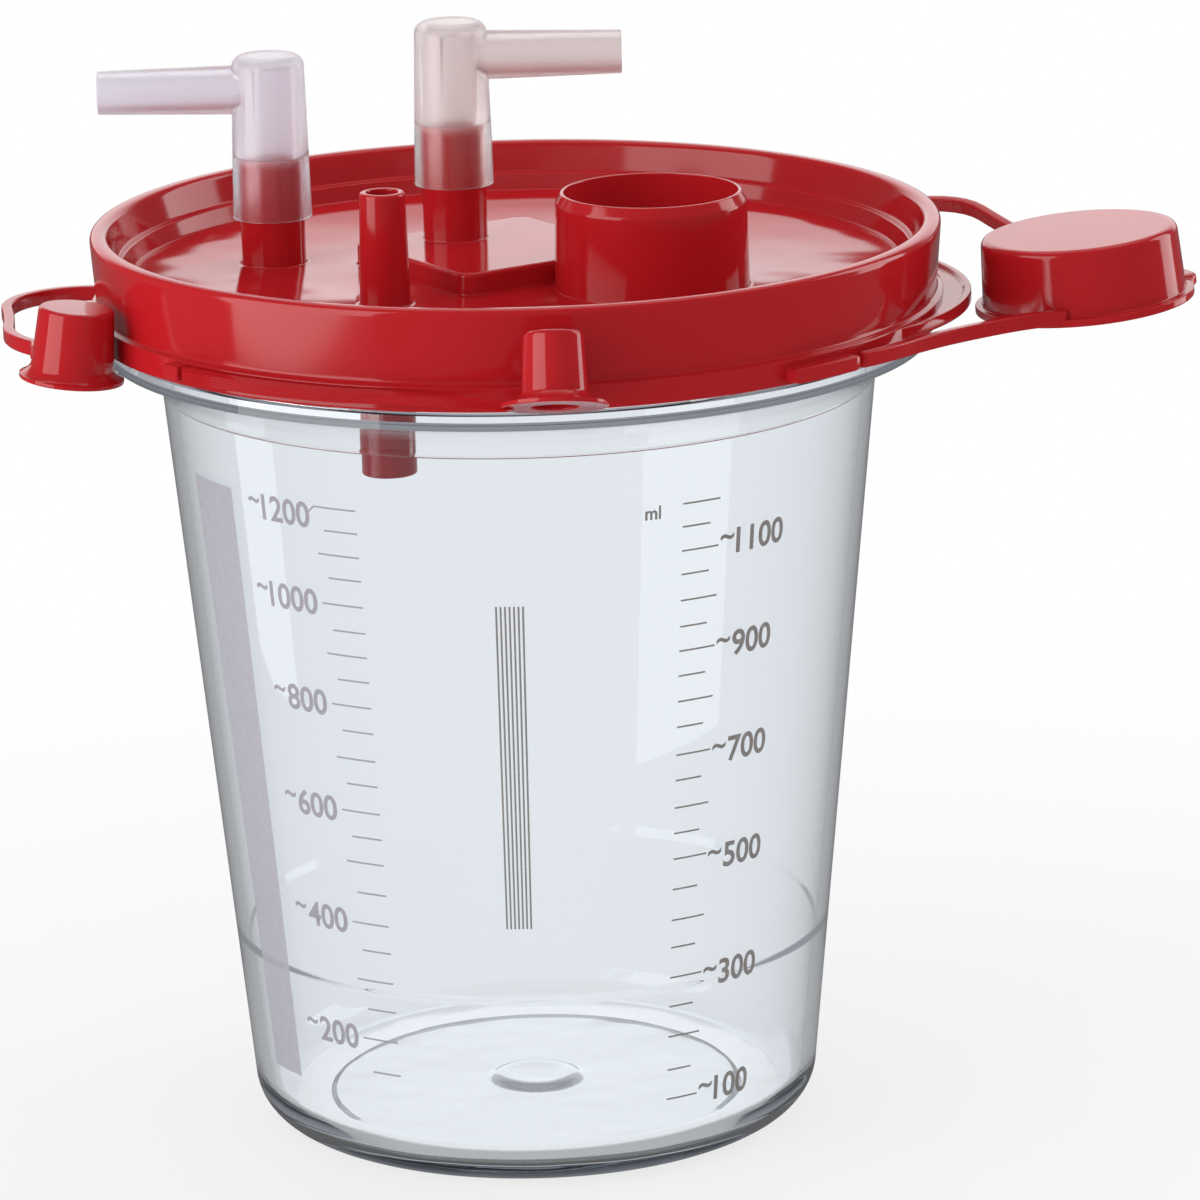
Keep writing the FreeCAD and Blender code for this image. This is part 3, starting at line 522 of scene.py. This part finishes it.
def wrap(shape, azimuth, height, lean=0.0):
    """Lay a flat drawing, in millimetres, on the jar's wall: its X runs round and its Y runs up.

    An azimuth counts in degrees from the front towards +X, and a lean turns the drawing."""
    turn = Matrix.Rotation(math.radians(lean), 2)
    start = math.radians(azimuth)
    for vert in shape.verts:
        across, up = turn @ Vector((vert.co.x, vert.co.y))
        level = height + up
        radius = wall_radius(level) + PRINT_LIFT
        angle = start + across / wall_radius(height)
        vert.co = Vector((radius * math.sin(angle), -radius * math.cos(angle), level)) * MM


def bar(azimuth, height, width, lean=0.0):
    """A printed line that runs round the jar from an azimuth."""
    shape = bmesh.new()
    bmesh.ops.create_grid(shape, x_segments=max(2, int(width / 0.8)), y_segments=1, size=0.5)
    bmesh.ops.scale(shape, verts=shape.verts, vec=(width, LINE, 1))
    bmesh.ops.translate(shape, verts=shape.verts, vec=(width / 2, 0, 0))
    wrap(shape, azimuth, height, lean)
    return shape


def figures(text, size, narrow):
    """Plain figures as a flat mesh, their left edge at the origin."""
    curve = bpy.data.curves.new("figures", "FONT")
    curve.body = text
    curve.size = size * MM
    curve.offset = curve.size * 0.022
    holder = bpy.data.objects.new("figures", curve)
    bpy.context.scene.collection.objects.link(holder)
    bpy.context.view_layer.update()
    mesh = bpy.data.meshes.new_from_object(holder)
    bpy.data.objects.remove(holder)
    bpy.data.curves.remove(curve)
    shape = bmesh.new()
    shape.from_mesh(mesh)
    bpy.data.meshes.remove(mesh)
    bmesh.ops.remove_doubles(shape, verts=shape.verts, dist=1e-7)
    bmesh.ops.scale(shape, verts=shape.verts, vec=(narrow / MM, 1 / MM, 1))
    left = min(v.co.x for v in shape.verts)
    bmesh.ops.translate(shape, verts=shape.verts, vec=(-left, 0, 0))
    return shape


def joined(shapes):
    whole = bmesh.new()
    for shape in shapes:
        mesh = bpy.data.meshes.new("part")
        shape.to_mesh(mesh)
        shape.free()
        whole.from_mesh(mesh)
        bpy.data.meshes.remove(mesh)
    return whole


def volume_label(volume):
    """A volume with a raised tilde before it."""
    digits = figures(str(volume), 6.4, 0.97)
    tilde = figures("~", 5.6, 0.9)
    reach = max(v.co.x for v in tilde.verts) + 0.5
    bmesh.ops.translate(tilde, verts=tilde.verts, vec=(0, 1.6, 0))
    bmesh.ops.translate(digits, verts=digits.verts, vec=(reach, 0, 0))
    return joined([tilde, digits])


# Height of each volume's line, and how far below it the figures at the right start

GRADUATIONS = {
    1200: 126.7, 1150: 122.5, 1100: 118.1, 1050: 113.8, 1000: 109.0, 950: 104.2, 900: 99.7,
    850: 95.1, 800: 90.35, 750: 85.6, 700: 80.4, 650: 75.65, 600: 70.5, 550: 65.7, 500: 60.85,
    450: 55.1, 400: 49.25, 350: 44.05, 300: 38.3, 250: 32.75, 200: 26.95, 150: 20.55, 100: 14.9,
}
RIGHT_DROP = {1100: 1.9, 900: 2.5, 700: 2.9, 500: 3.3, 300: 3.0, 100: 2.0}
LEFT_DROP = 2.3
TOP_LEFT_DROP = 4.0

# Azimuths in degrees at which the lines of each side start and end, long ones first

LEFT_STARTS = (-34.85, -33.2)
LEFT_END = -27.1
RIGHT_START = 26.0
RIGHT_ENDS = (32.8, 31.1)


def make_left_scale():
    """Lines with the even hundreds, and a tick at the end of the top one."""
    shapes = []
    for volume, level in GRADUATIONS.items():
        if volume == 100:
            continue
        start = LEFT_STARTS[volume % 100 > 0]
        width = math.radians(LEFT_END - start) * wall_radius(level)
        shapes.append(bar(start, level, width))
        if volume == 1200:
            shapes.append(bar(start, level, 2.0, lean=-138.0))
        if volume % 200 == 0:
            label = volume_label(volume)
            reach = max(v.co.x for v in label.verts)
            drop = TOP_LEFT_DROP if volume == 1200 else LEFT_DROP
            bmesh.ops.translate(label, verts=label.verts, vec=(-reach - 1.1, -drop, 0))
            wrap(label, start, level)
            shapes.append(label)
    new_piece("left_scale_print", joined(shapes), [LEFT_INK], "jar_body")


def make_right_scale():
    """Lines with the odd hundreds, and the unit."""
    shapes = []
    for volume, level in GRADUATIONS.items():
        end = RIGHT_ENDS[volume % 100 > 0]
        width = math.radians(end - RIGHT_START) * wall_radius(level)
        shapes.append(bar(RIGHT_START, level, width))
        if volume % 200 == 100:
            label = volume_label(volume)
            bmesh.ops.translate(label, verts=label.verts, vec=(0.4, -RIGHT_DROP[volume], 0))
            wrap(label, end, level)
            shapes.append(label)
    unit = figures("ml", 3.4, 0.95)
    wrap(unit, 19.5, 124.6)
    shapes.append(unit)
    new_piece("right_scale_print", joined(shapes), [RIGHT_INK], "jar_body")


def make_stripes():
    """Seven fine upright lines at the front."""
    shapes = []
    low, high = 50.2, 110.4
    for index in range(7):
        stripe = bmesh.new()
        bmesh.ops.create_grid(stripe, x_segments=1, y_segments=12, size=0.5)
        bmesh.ops.scale(stripe, verts=stripe.verts, vec=(0.34, high - low, 1))
        bmesh.ops.translate(stripe, verts=stripe.verts, vec=(index * 0.74, 0, 0))
        wrap(stripe, -4.65, (low + high) / 2)
        shapes.append(stripe)
    new_piece("stripe_print", joined(shapes), [RIGHT_INK], "jar_body")


def make_band():
    """The frosted upright band left of the scale, wider at its top."""
    band = bmesh.new()
    low, high = 15.5, 126.8
    bmesh.ops.create_grid(band, x_segments=12, y_segments=24, size=0.5)
    bmesh.ops.scale(band, verts=band.verts, vec=(1, high - low, 1))
    middle = (low + high) / 2
    for vert in band.verts:
        share = vert.co.y / (high - low) + 0.5
        width = 10.0 + 2.4 * share
        vert.co.x = (vert.co.x + 0.5) * -width
    wrap(band, -53.6, middle)
    new_piece("frosted_band_print", band, [FROST], "jar_body")


# Lid. Heights, radii and (x, y) places in millimetres.

DECK = 157.3
DECK_UNDER = 155.7
BOSS_TOP = 161.3
LIP = 76.6
STRAP_FOOT = 148.8
STRAP_HALF = 1.0
STRAP_HEIGHT = 2.7
SMALL_STEPS = 64
PATIENT = (-43.7, 8.0)
VACUUM = (-10.8, 7.4)
TANDEM = (-23.1, -29.4)
SPOUT = (24.0, -19.0)
FILTER = (-5.5, 2.7)


def lid_shell(shape):
    """Well wall, rolled rim, skirt with its lip, channel for the jar's rim, and plug."""
    spun(shape, section([
        (68.6, DECK), (69.4, DECK, 0.9), (70.5, 160.2, 0.5), (71.6, 160.5, 0.5),
        (73.3, 165.9, 1.5), (76.35, 165.9, 1.7), (75.4, 153.0, 0.7), (76.6, 152.5, 0.35),
        (76.6, 148.2, 0.5), (73.6, 148.2, 0.7), (73.5, 159.3, 0.5), (74.4, 163.5, 0.2),
        (73.9, 163.5, 0.2), (72.1, 158.9, 0.3), (70.9, 158.9, 0.2), (70.9, 150.7, 0.7),
        (69.4, 150.7, 0.2), (69.4, DECK_UNDER),
    ], 7))


def boss_ring(height, inset):
    """The filter housing's rounded square at a height, drawn in by a distance."""
    half, corner = 18.8 - 3.0, 3.0 - inset
    turn = Matrix.Rotation(math.radians(33.0), 2)
    ring = []
    for quarter, sides in enumerate(((1, 1), (-1, 1), (-1, -1), (1, -1))):
        for step in range(9):
            angle = math.radians(quarter * 90 + step * 90 / 8)
            spot = Vector(sides) * half + Vector((math.cos(angle), math.sin(angle))) * corner
            spot = turn @ spot
            ring.append((spot.x - 3.7, spot.y, height))
    return ring


def lid_boss(shape):
    """The square housing's side with a rounded top edge. Returns its foot and top rings."""
    levels = [(DECK, -0.5), (DECK + 0.15, -0.15), (DECK + 0.5, 0.0), (BOSS_TOP - 0.8, 0.0)]
    for step in range(1, 6):
        angle = math.radians(step * 18)
        levels.append((BOSS_TOP - 0.8 + 0.8 * math.sin(angle), 0.8 - 0.8 * math.cos(angle)))
    order, verts = first_ring(shape, boss_ring(*levels[0]))
    foot = looped(shape, verts)
    edges = foot
    for level in levels[1:]:
        made = bmesh.ops.extrude_edge_only(shape, edges=edges)["geom"]
        edges = [item for item in made if isinstance(item, bmesh.types.BMEdge)]
        follow([item for item in made if isinstance(item, bmesh.types.BMVert)], order,
               boss_ring(*level))
    return foot, edges


def lid_ports(shape):
    """Posts, tandem port with its drop tube, and pour spout, each from the deck's upper face to
    its lower one."""
    spun(shape, section([
        (6.6, DECK), (5.8, DECK, 0.8), (5.8, PATIENT_TOP, 0.5), (4.0, PATIENT_TOP, 0.3), (4.0, DECK_UNDER),
    ]), PATIENT, SMALL_STEPS)
    spun(shape, section([
        (6.6, BOSS_TOP), (5.8, BOSS_TOP, 0.8), (5.8, VACUUM_TOP, 0.5), (4.0, VACUUM_TOP, 0.3), (4.0, 159.8),
    ]), VACUUM, SMALL_STEPS)
    spun(shape, section([
        (5.3, DECK), (4.5, DECK, 0.8), (4.0, 177.3, 0.6), (2.8, 177.3, 0.35), (2.8, 127.0, 0.2),
        (4.85, 127.0, 0.3), (4.85, DECK_UNDER),
    ]), TANDEM, SMALL_STEPS)
    spun(shape, section([
        (17.9, DECK), (17.3, DECK, 0.6), (16.95, 172.5, 1.2), (15.95, 174.3, 0.35),
        (15.4, 174.3, 0.2), (15.4, DECK_UNDER),
    ]), SPOUT, 128)
    spun(shape, [(13.45, DECK_UNDER), (13.45, 158.0), (11.9, 158.0), (11.9, 159.8)],
         FILTER, SMALL_STEPS)


def lid_plates(shape, boss_foot, boss_top):
    """Flat faces between the ports: the deck and the housing's top, each with its underside."""
    deck = plate(shape, [hoop(shape, 68.6, DECK), boss_foot,
                         hoop(shape, 6.6, DECK, PATIENT, SMALL_STEPS),
                         hoop(shape, 5.3, DECK, TANDEM, SMALL_STEPS),
                         hoop(shape, 17.9, DECK, SPOUT, 128)])
    for face in deck:
        face.material_index = 1
    plate(shape, [boss_top, hoop(shape, 6.6, BOSS_TOP, VACUUM, SMALL_STEPS)])
    plate(shape, [hoop(shape, 69.4, DECK_UNDER),
                  hoop(shape, 4.0, DECK_UNDER, PATIENT, SMALL_STEPS),
                  hoop(shape, 4.85, DECK_UNDER, TANDEM, SMALL_STEPS),
                  hoop(shape, 15.4, DECK_UNDER, SPOUT, 128),
                  hoop(shape, 13.45, DECK_UNDER, FILTER, SMALL_STEPS)])
    plate(shape, [hoop(shape, 11.9, 159.8, FILTER, SMALL_STEPS),
                  hoop(shape, 4.0, 159.8, VACUUM, SMALL_STEPS)])


def make_lid():
    shape = bmesh.new()
    lid_shell(shape)
    boss_foot, boss_top = lid_boss(shape)
    lid_ports(shape)
    lid_plates(shape, boss_foot, boss_top)
    weld(shape)
    lid = new_piece("lid_moulding", shape, [RED, RED_DECK], "lid_body", ["lid"])
    shade_smooth(lid)
    make_ear()
    make_roots()


def make_ear():
    """The dished lobe beside the pour cap."""
    hub, lobe = 31.05, 50.55
    turn = Matrix.Rotation(math.radians(-3.0), 3, "Z")
    rows = []
    for step in range(-40, 41):
        angle = math.radians(step * 1.18)
        ahead = Vector((math.cos(angle), math.sin(angle), 0))
        buried = -hub * ahead.x + math.sqrt((hub * ahead.x) ** 2 + 74.6 ** 2 - hub ** 2)
        ring = section([
            (buried - 0.01, 150.1), (lobe, 150.1, 0.5), (lobe, 152.4, 0.4), (lobe - 1.1, 152.4, 0.3),
            (lobe - 1.7, 151.7, 0.4), (buried - 0.01, 151.7)], 4)
        row = []
        for radius, height in ring:
            spot = Vector((hub, 0, height)) + ahead * max(radius, buried)
            row.append(turn @ spot)
        rows.append(row)
    ear = new_piece("lift_ear", swept(rows), [RED], "lid_body")
    shade_smooth(ear)


def band_ring(half, height, corner=0.45, steps=3):
    """A strap's section: (side, rise) points of an upright bar with soft corners."""
    corner = min(corner, half * 0.8)
    points = []
    for quarter, (across, rise) in enumerate(((1, 1), (-1, 1), (-1, 0), (1, 0))):
        hub = Vector((across * (half - corner), height - corner if rise else corner))
        for step in range(steps + 1):
            angle = math.radians(quarter * 90 + step * 90 / steps)
            points.append(tuple(hub + Vector((math.cos(angle), math.sin(angle))) * corner))
    return points


def ribbed_ring(half, height):
    """The tandem strap's section, with four ribs along its outer side."""
    points = band_ring(half, height)
    left = [point for point in points if point[0] < 0]
    right = []
    for step in range(9):
        groove = 0.24 if step % 2 else 0.0
        right.append((max(half - groove, 0.05), 0.35 + (height - 0.7) * step / 8))
    return right + left


def make_roots():
    """Blunt blocks on the lip that the straps spring from."""
    def block(name, start, end, inner, outer, foot):
        rows = []
        for step in range(25):
            angle = math.radians(start + (end - start) * step / 24)
            edge = min(step, 24 - step)
            draw = 0.35 * (1 - math.sin(math.radians(min(edge, 2) * 45)))
            ahead = Vector((math.cos(angle), math.sin(angle), 0))
            middle, half = (inner + outer) / 2, (outer - inner) / 2
            row = []
            for side, rise in band_ring(half - draw, STRAP_HEIGHT - draw * 2):
                row.append(ahead * (middle + side) + Vector((0, 0, foot + draw + rise)))
            rows.append(row)
        root = new_piece(name, swept(rows), [RED], "lid_body")
        shade_smooth(root)

    outer = LIP + 2.95
    across = math.degrees(1 / 78.55)
    block("tandem_strap_root", 223.4 - 5.75 * across, 223.4 - 1.35 * across, 75.0, outer,
          STRAP_FOOT + 0.8)
    block("patient_strap_root", 166.2 - 2.2 * across, 166.2 + 2.2 * across, 75.0, LIP + 1.6,
          STRAP_FOOT)
    far = 40.5 + 18.0 * across
    block("front_strap_root", -far, -40.5 - 2.0 * across, 75.0, outer, STRAP_FOOT)
    block("rear_strap_root", 40.5 + 3.05 * across, far, 75.0, outer, STRAP_FOOT)


# Caps and straps

def lip_spot(standoff, angle):
    turn = math.radians(angle)
    return Vector((math.cos(turn), math.sin(turn), 0)) * (LIP + standoff)


def way_along(start, heading, points, steps=14):
    """Places and headings along arcs that leave each other smoothly and pass through the points."""
    heading = Vector(heading).normalized()
    spots = [(start, heading)]
    for point in points:
        chord = point - start
        along = chord.normalized()
        left = Vector((-along.y, along.x, 0))
        lean = math.atan2(heading.dot(left), heading.dot(along))
        if abs(lean) < 1e-4:
            lean = 1e-4
        length = chord.length * lean / math.sin(lean)
        for step in range(1, steps + 1):
            angle = lean * (1 - 2 * step / steps)
            ahead = length * (math.sin(lean) - math.sin(angle)) / (2 * lean)
            aside = length * (math.cos(angle) - math.cos(lean)) / (2 * lean)
            spots.append((start + along * ahead + left * aside,
                          along * math.cos(angle) + left * math.sin(angle)))
        heading = spots[-1][1]
        start = point
    return spots


def make_strap(name, body, foot, start, heading, points, lift=0.0, ring=band_ring, slim=1.0):
    """An upright band with round ends. Its way tips up about the line between its ends.

    Towards its far end the band keeps this share of its height."""
    chord = points[-1] - start
    turn = Matrix.Rotation(math.atan2(chord.y, chord.x), 3, "Z")
    plane = turn @ Matrix.Rotation(math.radians(lift), 3, "X")
    back = turn.inverted()
    local = [back @ (point - start) for point in points]
    spots = way_along(Vector((0, 0, 0)), back @ Vector(heading), local)
    first, last = spots[0], spots[-1]
    ends = [math.radians(step * 14) for step in range(6, 0, -1)]
    stations = [(first[0] - first[1] * STRAP_HALF * math.sin(a), first[1], math.cos(a)) for a in ends]
    stations += [(spot, ahead, 1.0) for spot, ahead in spots]
    stations += [(last[0] + last[1] * STRAP_HALF * math.sin(a), last[1], math.cos(a))
                 for a in reversed(ends)]
    lifted = Vector((start.x, start.y, foot))
    rows = []
    for index, (spot, ahead, share) in enumerate(stations):
        side = Vector((ahead.y, -ahead.x, 0))
        late = min(max(index / len(stations) * 2.2 - 1.2, 0), 1)
        kept = 1 - (1 - slim) * late * late * (3 - 2 * late)
        row = []
        for across, rise in ring(STRAP_HALF * share, STRAP_HEIGHT):
            rise = STRAP_HEIGHT - (STRAP_HEIGHT - rise) * kept
            row.append(lifted + plane @ (spot + side * across + Vector((0, 0, rise))))
        rows.append(row)
    strap = new_piece(name, swept(rows), [RED], body)
    shade_smooth(strap)


def stood(shape, x, y, z, tilt, axis):
    """Stand a cap drawn at the origin at its mouth's middle, leaning about an axis."""
    lean = Matrix.Rotation(math.radians(tilt), 4, axis)
    shift = Matrix.Translation(Vector((x, y, z)) * MM)
    bmesh.ops.transform(shape, matrix=shift @ lean, verts=shape.verts)


def small_cap(name, body, node, sizes, inner, place, tilt, axis):
    height, top, foot, flare = sizes
    neck = foot - (foot - top) * 0.2
    line = section([(inner, height - 1.2), (inner, 0.0, 0.35), (flare, 0.0, 0.25), (flare, 0.75, 0.3)])
    line = line[:-1] + [(flare, 0.7)]
    line += arc((flare, 0.7), (neck, 2.6), flare - neck + 1.0, 1, 8)
    line += section([(neck, 2.6), (top, height, 0.9), (0.6, height)])[1:]
    shape = bmesh.new()
    spun(shape, line + [(0.0, height)], steps=96)
    spun(shape, [(0.0, height - 1.2), (inner, height - 1.2)], steps=96)
    weld(shape)
    stood(shape, *place, tilt, axis)
    cap = new_piece(name, shape, [RED], body, [node])
    shade_smooth(cap)


def make_patient_cap():
    middle = lip_spot(8.3, 202.6)
    small_cap("patient_cap_moulding", "patient_cap_body", "patient_cap", (12.9, 6.6, 7.45, 9.2), 5.9,
              (middle.x, middle.y, 145.9), 6.5, "Y")
    route = [lip_spot(LIP * share, angle) for share, angle in
             ((0.178, 171.2), (0.201, 178.1), (0.193, 187.5), (0.164, 196.5))]
    make_strap("patient_strap", "patient_cap_body", STRAP_FOOT, lip_spot(2.95, 166.2), (-1, 0.1, 0),
               route + [middle + Vector((-0.88, 0.475, 0)) * 7.15])


def make_tandem_cap():
    middle = lip_spot(9.8, 273.9)
    small_cap("tandem_cap_moulding", "tandem_cap_body", "tandem_cap", (12.7, 5.1, 5.7, 9.1), 4.1,
              (middle.x, middle.y, 151.2), -20.0, "X")
    side = math.radians(223.4)
    make_strap("tandem_strap", "tandem_cap_body", STRAP_FOOT + 0.8, lip_spot(1.95, 223.4),
               (-math.sin(side), math.cos(side), 0),
               [lip_spot(1.95, 237.0), lip_spot(1.95, 250.0), middle + Vector((-7.9, 0, 0))],
               ring=ribbed_ring, slim=0.45)


def make_pour_cap():
    inner, height = 17.0, 13.3
    shape = bmesh.new()
    spun(shape, section([
        (0.0, 12.1), (16.1, 12.1, 0.2), (17.0, 10.1, 0.3), (inner, 0.0, 0.3), (19.7, 0.0, 0.35),
        (19.7, 1.4, 0.4), (18.3, 1.4, 0.5), (17.6, height, 1.6), (1.2, height), (0.0, height)], 7),
         steps=160)
    weld(shape)
    middle = lip_spot(25.4, -2.3)
    stood(shape, middle.x, middle.y, 148.9, -5.0, "Y")
    cap = new_piece("pour_cap_moulding", shape, [RED], "pour_cap_body", ["pour_cap"])
    shade_smooth(cap)
    rows = []
    for step in range(21):
        angle = math.radians(8.0 + step * 2.0)
        ahead = Vector((math.cos(angle), math.sin(angle), 0))
        edge = min(step, 20 - step)
        draw = 1.7 * (1 - math.sin(math.radians(min(edge, 4) * 22.5)))
        rows.append([ahead * (19.55 - draw / 2 + side) + Vector((0, 0, rise))
                     for side, rise in band_ring(1.95 - draw / 2, 2.0 - draw * 0.35)])
    tab = swept(rows)
    stood(tab, middle.x, middle.y, 148.9, -5.0, "Y")
    tab = new_piece("pour_cap_tab", tab, [RED], "pour_cap_body")
    shade_smooth(tab)
    make_strap("front_strap", "pour_cap_body", STRAP_FOOT, lip_spot(1.95, -40.5), (0.75, 0.66, 0),
               [lip_spot(LIP * 0.044, -33.0), lip_spot(LIP * 0.09, -24.5), lip_spot(LIP * 0.176, -17.4),
                middle + Vector((-0.28, -0.9, 0)) * 19.7])
    make_strap("rear_strap", "pour_cap_body", STRAP_FOOT, lip_spot(1.95, 40.5), (0.42, 0.91, 0),
               [lip_spot(LIP * 0.325, 29.9), middle + Vector((0.15, 0.95, 0)) * 19.7], lift=15.0)


# Filter and elbows

def make_fittings():
    smooth_copy("filter_membrane", "filter_disc", MEMBRANE, "lid_body")
    smooth_copy("filter_retainer", "retainer_ring", MILKY_LEFT, "lid_body")
    smooth_copy("patient_elbow", "patient_elbow_moulding", MILKY_LEFT, "patient_elbow_body")
    smooth_copy("vacuum_elbow", "vacuum_elbow_moulding", MILKY_RIGHT, "vacuum_elbow_body")


# Stage. Its colour, and its brightness in a mirrored ray outside and inside clear plastic.

BACKDROP = (0.985, 0.99, 1.0)
DIM = 0.14
PLASTIC_GLOW = 0.6
LAMP_AIM = 0.11


def room_level(tree):
    """How bright the room looks when it is mirrored, outside or inside clear plastic."""
    return mapped(tree, ray_is(tree, "Is Transmission Ray"), 0.0, 1.0, DIM, PLASTIC_GLOW)


def make_floor():
    """A pale round table top: the camera sees it white with the canister's soft shadow."""
    shape = bmesh.new()
    bmesh.ops.create_circle(shape, cap_ends=True, segments=128, radius=0.4)
    mesh = bpy.data.meshes.new("floor")
    shape.to_mesh(mesh)
    shape.free()
    floor = bpy.data.objects.new("floor", mesh)
    bpy.context.scene.collection.objects.link(floor)
    material, tree, shader = new_material("pale_floor")
    shader.inputs["Base Color"].default_value = (0.9, 0.9, 0.9, 1)
    shader.inputs["Roughness"].default_value = 0.9
    shader.inputs["Specular IOR Level"].default_value = 0.1
    place = tree.nodes.new("ShaderNodeTexCoord")
    reach = tree.nodes.new("ShaderNodeVectorMath")
    reach.operation = "LENGTH"
    tree.links.new(place.outputs["Object"], reach.inputs[0])
    fade = mapped(tree, reach.outputs["Value"], 0.1, 0.38, 0.72, 1.0)
    amount = tree.nodes.new("ShaderNodeMath")
    amount.operation = "MULTIPLY"
    tree.links.new(ray_is(tree, "Is Camera Ray"), amount.inputs[0])
    tree.links.new(fade, amount.inputs[1])
    surface = shader.outputs[0]
    for share, colour in ((amount.outputs[0], (1, 1, 1, 1)),
                          (ray_is(tree, "Is Transmission Ray"), (*BACKDROP, 1)),
                          (reflected(tree), (*BACKDROP, 1))):
        white = tree.nodes.new("ShaderNodeEmission")
        white.inputs["Color"].default_value = colour
        surface = blend(tree, share, surface, white.outputs[0])
    tree.links.new(room_level(tree), white.inputs["Strength"])
    tree.links.new(surface, tree.nodes["Material Output"].inputs["Surface"])
    mesh.materials.append(material)


def soft_lamp(name, azimuth, middle, distance, width, height, power):
    """A large lamp at an azimuth, its middle at a height, that faces the canister."""
    lamp = bpy.data.lights.new(name, "AREA")
    lamp.shape = "RECTANGLE"
    lamp.size = width
    lamp.size_y = height
    lamp.energy = power
    holder = bpy.data.objects.new(name, lamp)
    turn = math.radians(azimuth)
    holder.location = Vector((math.sin(turn) * distance, -math.cos(turn) * distance, middle))
    ahead = Vector((0, 0, LAMP_AIM)) - holder.location
    holder.rotation_mode = "QUATERNION"
    holder.rotation_quaternion = ahead.to_track_quat("-Z", "Y")
    bpy.context.scene.collection.objects.link(holder)


def make_world():
    """Dim room with a white wall behind the canister."""
    world = bpy.data.worlds.new("studio")
    bpy.context.scene.world = world
    world.use_nodes = True
    tree = world.node_tree
    room = tree.nodes["Background"]
    way = tree.nodes.new("ShaderNodeTexCoord")
    parts = tree.nodes.new("ShaderNodeSeparateXYZ")
    tree.links.new(way.outputs["Generated"], parts.inputs[0])
    room.inputs["Color"].default_value = (*BACKDROP, 1)
    above = mapped(tree, parts.outputs["Z"], 0.0, 0.7, 0.55, 0.65)
    behind = mapped(tree, parts.outputs["Y"], 0.72, 0.9, 0.0, 1.25)
    raised = mapped(tree, parts.outputs["Z"], -0.02, 0.08, 0.0, 1.0)
    wall = tree.nodes.new("ShaderNodeMath")
    wall.operation = "MULTIPLY_ADD"
    tree.links.new(behind, wall.inputs[0])
    tree.links.new(raised, wall.inputs[1])
    tree.links.new(room_level(tree), wall.inputs[2])
    pick = tree.nodes.new("ShaderNodeMix")
    tree.links.new(ray_is(tree, "Is Transmission Ray"), pick.inputs["Factor"])
    tree.links.new(above, pick.inputs["A"])
    tree.links.new(mapped(tree, parts.outputs["Z"], 0.05, 0.4, 1.0, 0.35), pick.inputs["B"])
    gloss = tree.nodes.new("ShaderNodeMix")
    tree.links.new(reflected(tree), gloss.inputs["Factor"])
    tree.links.new(pick.outputs["Result"], gloss.inputs["A"])
    tree.links.new(wall.outputs[0], gloss.inputs["B"])
    tree.links.new(gloss.outputs["Result"], room.inputs["Strength"])
    white = tree.nodes.new("ShaderNodeBackground")
    white.inputs["Color"].default_value = (1, 1, 1, 1)
    surface = blend(tree, ray_is(tree, "Is Camera Ray"), room.outputs[0], white.outputs[0])
    tree.links.new(surface, tree.nodes["World Output"].inputs["Surface"])


def make_lights():
    soft_lamp("left_panel", azimuth=-60, middle=0.37, distance=1.3, width=1.15, height=1.46, power=12.0)
    soft_lamp("right_panel", azimuth=112, middle=0.45, distance=1.3, width=0.55, height=1.3, power=5.8)
    soft_lamp("top_panel", azimuth=170, middle=1.3, distance=0.5, width=1.1, height=0.9, power=2.5)
    make_world()


def make_camera():
    """The photograph's view: a long lens a little above the lid, looking slightly down."""
    pitch, yaw, roll = math.radians(14.9422), math.radians(0.6856), math.radians(-1.2736)
    ahead = Vector((math.sin(yaw) * math.cos(pitch), math.cos(yaw) * math.cos(pitch), -math.sin(pitch)))
    right = Vector((math.cos(yaw), -math.sin(yaw), 0))
    up = right.cross(ahead)
    rolled_right = math.cos(roll) * right + math.sin(roll) * up
    rolled_up = math.cos(roll) * up - math.sin(roll) * right
    data = bpy.data.cameras.new("camera")
    data.sensor_width = 36.0
    data.lens = 195.09
    data.clip_start = 0.05
    data.clip_end = 30.0
    camera = bpy.data.objects.new("camera", data)
    turn = Matrix((rolled_right, rolled_up, -ahead)).transposed()
    camera.matrix_world = Matrix.Translation((0, -1.144585, 0.400216)) @ turn.to_4x4()
    bpy.context.scene.collection.objects.link(camera)
    bpy.context.scene.camera = camera


make_jar()
make_left_scale()
make_right_scale()
make_stripes()
make_band()
make_lid()
make_patient_cap()
make_tandem_cap()
make_pour_cap()
make_fittings()
make_floor()
make_lights()
make_camera()
bpy.context.scene.view_settings.view_transform = "Standard"
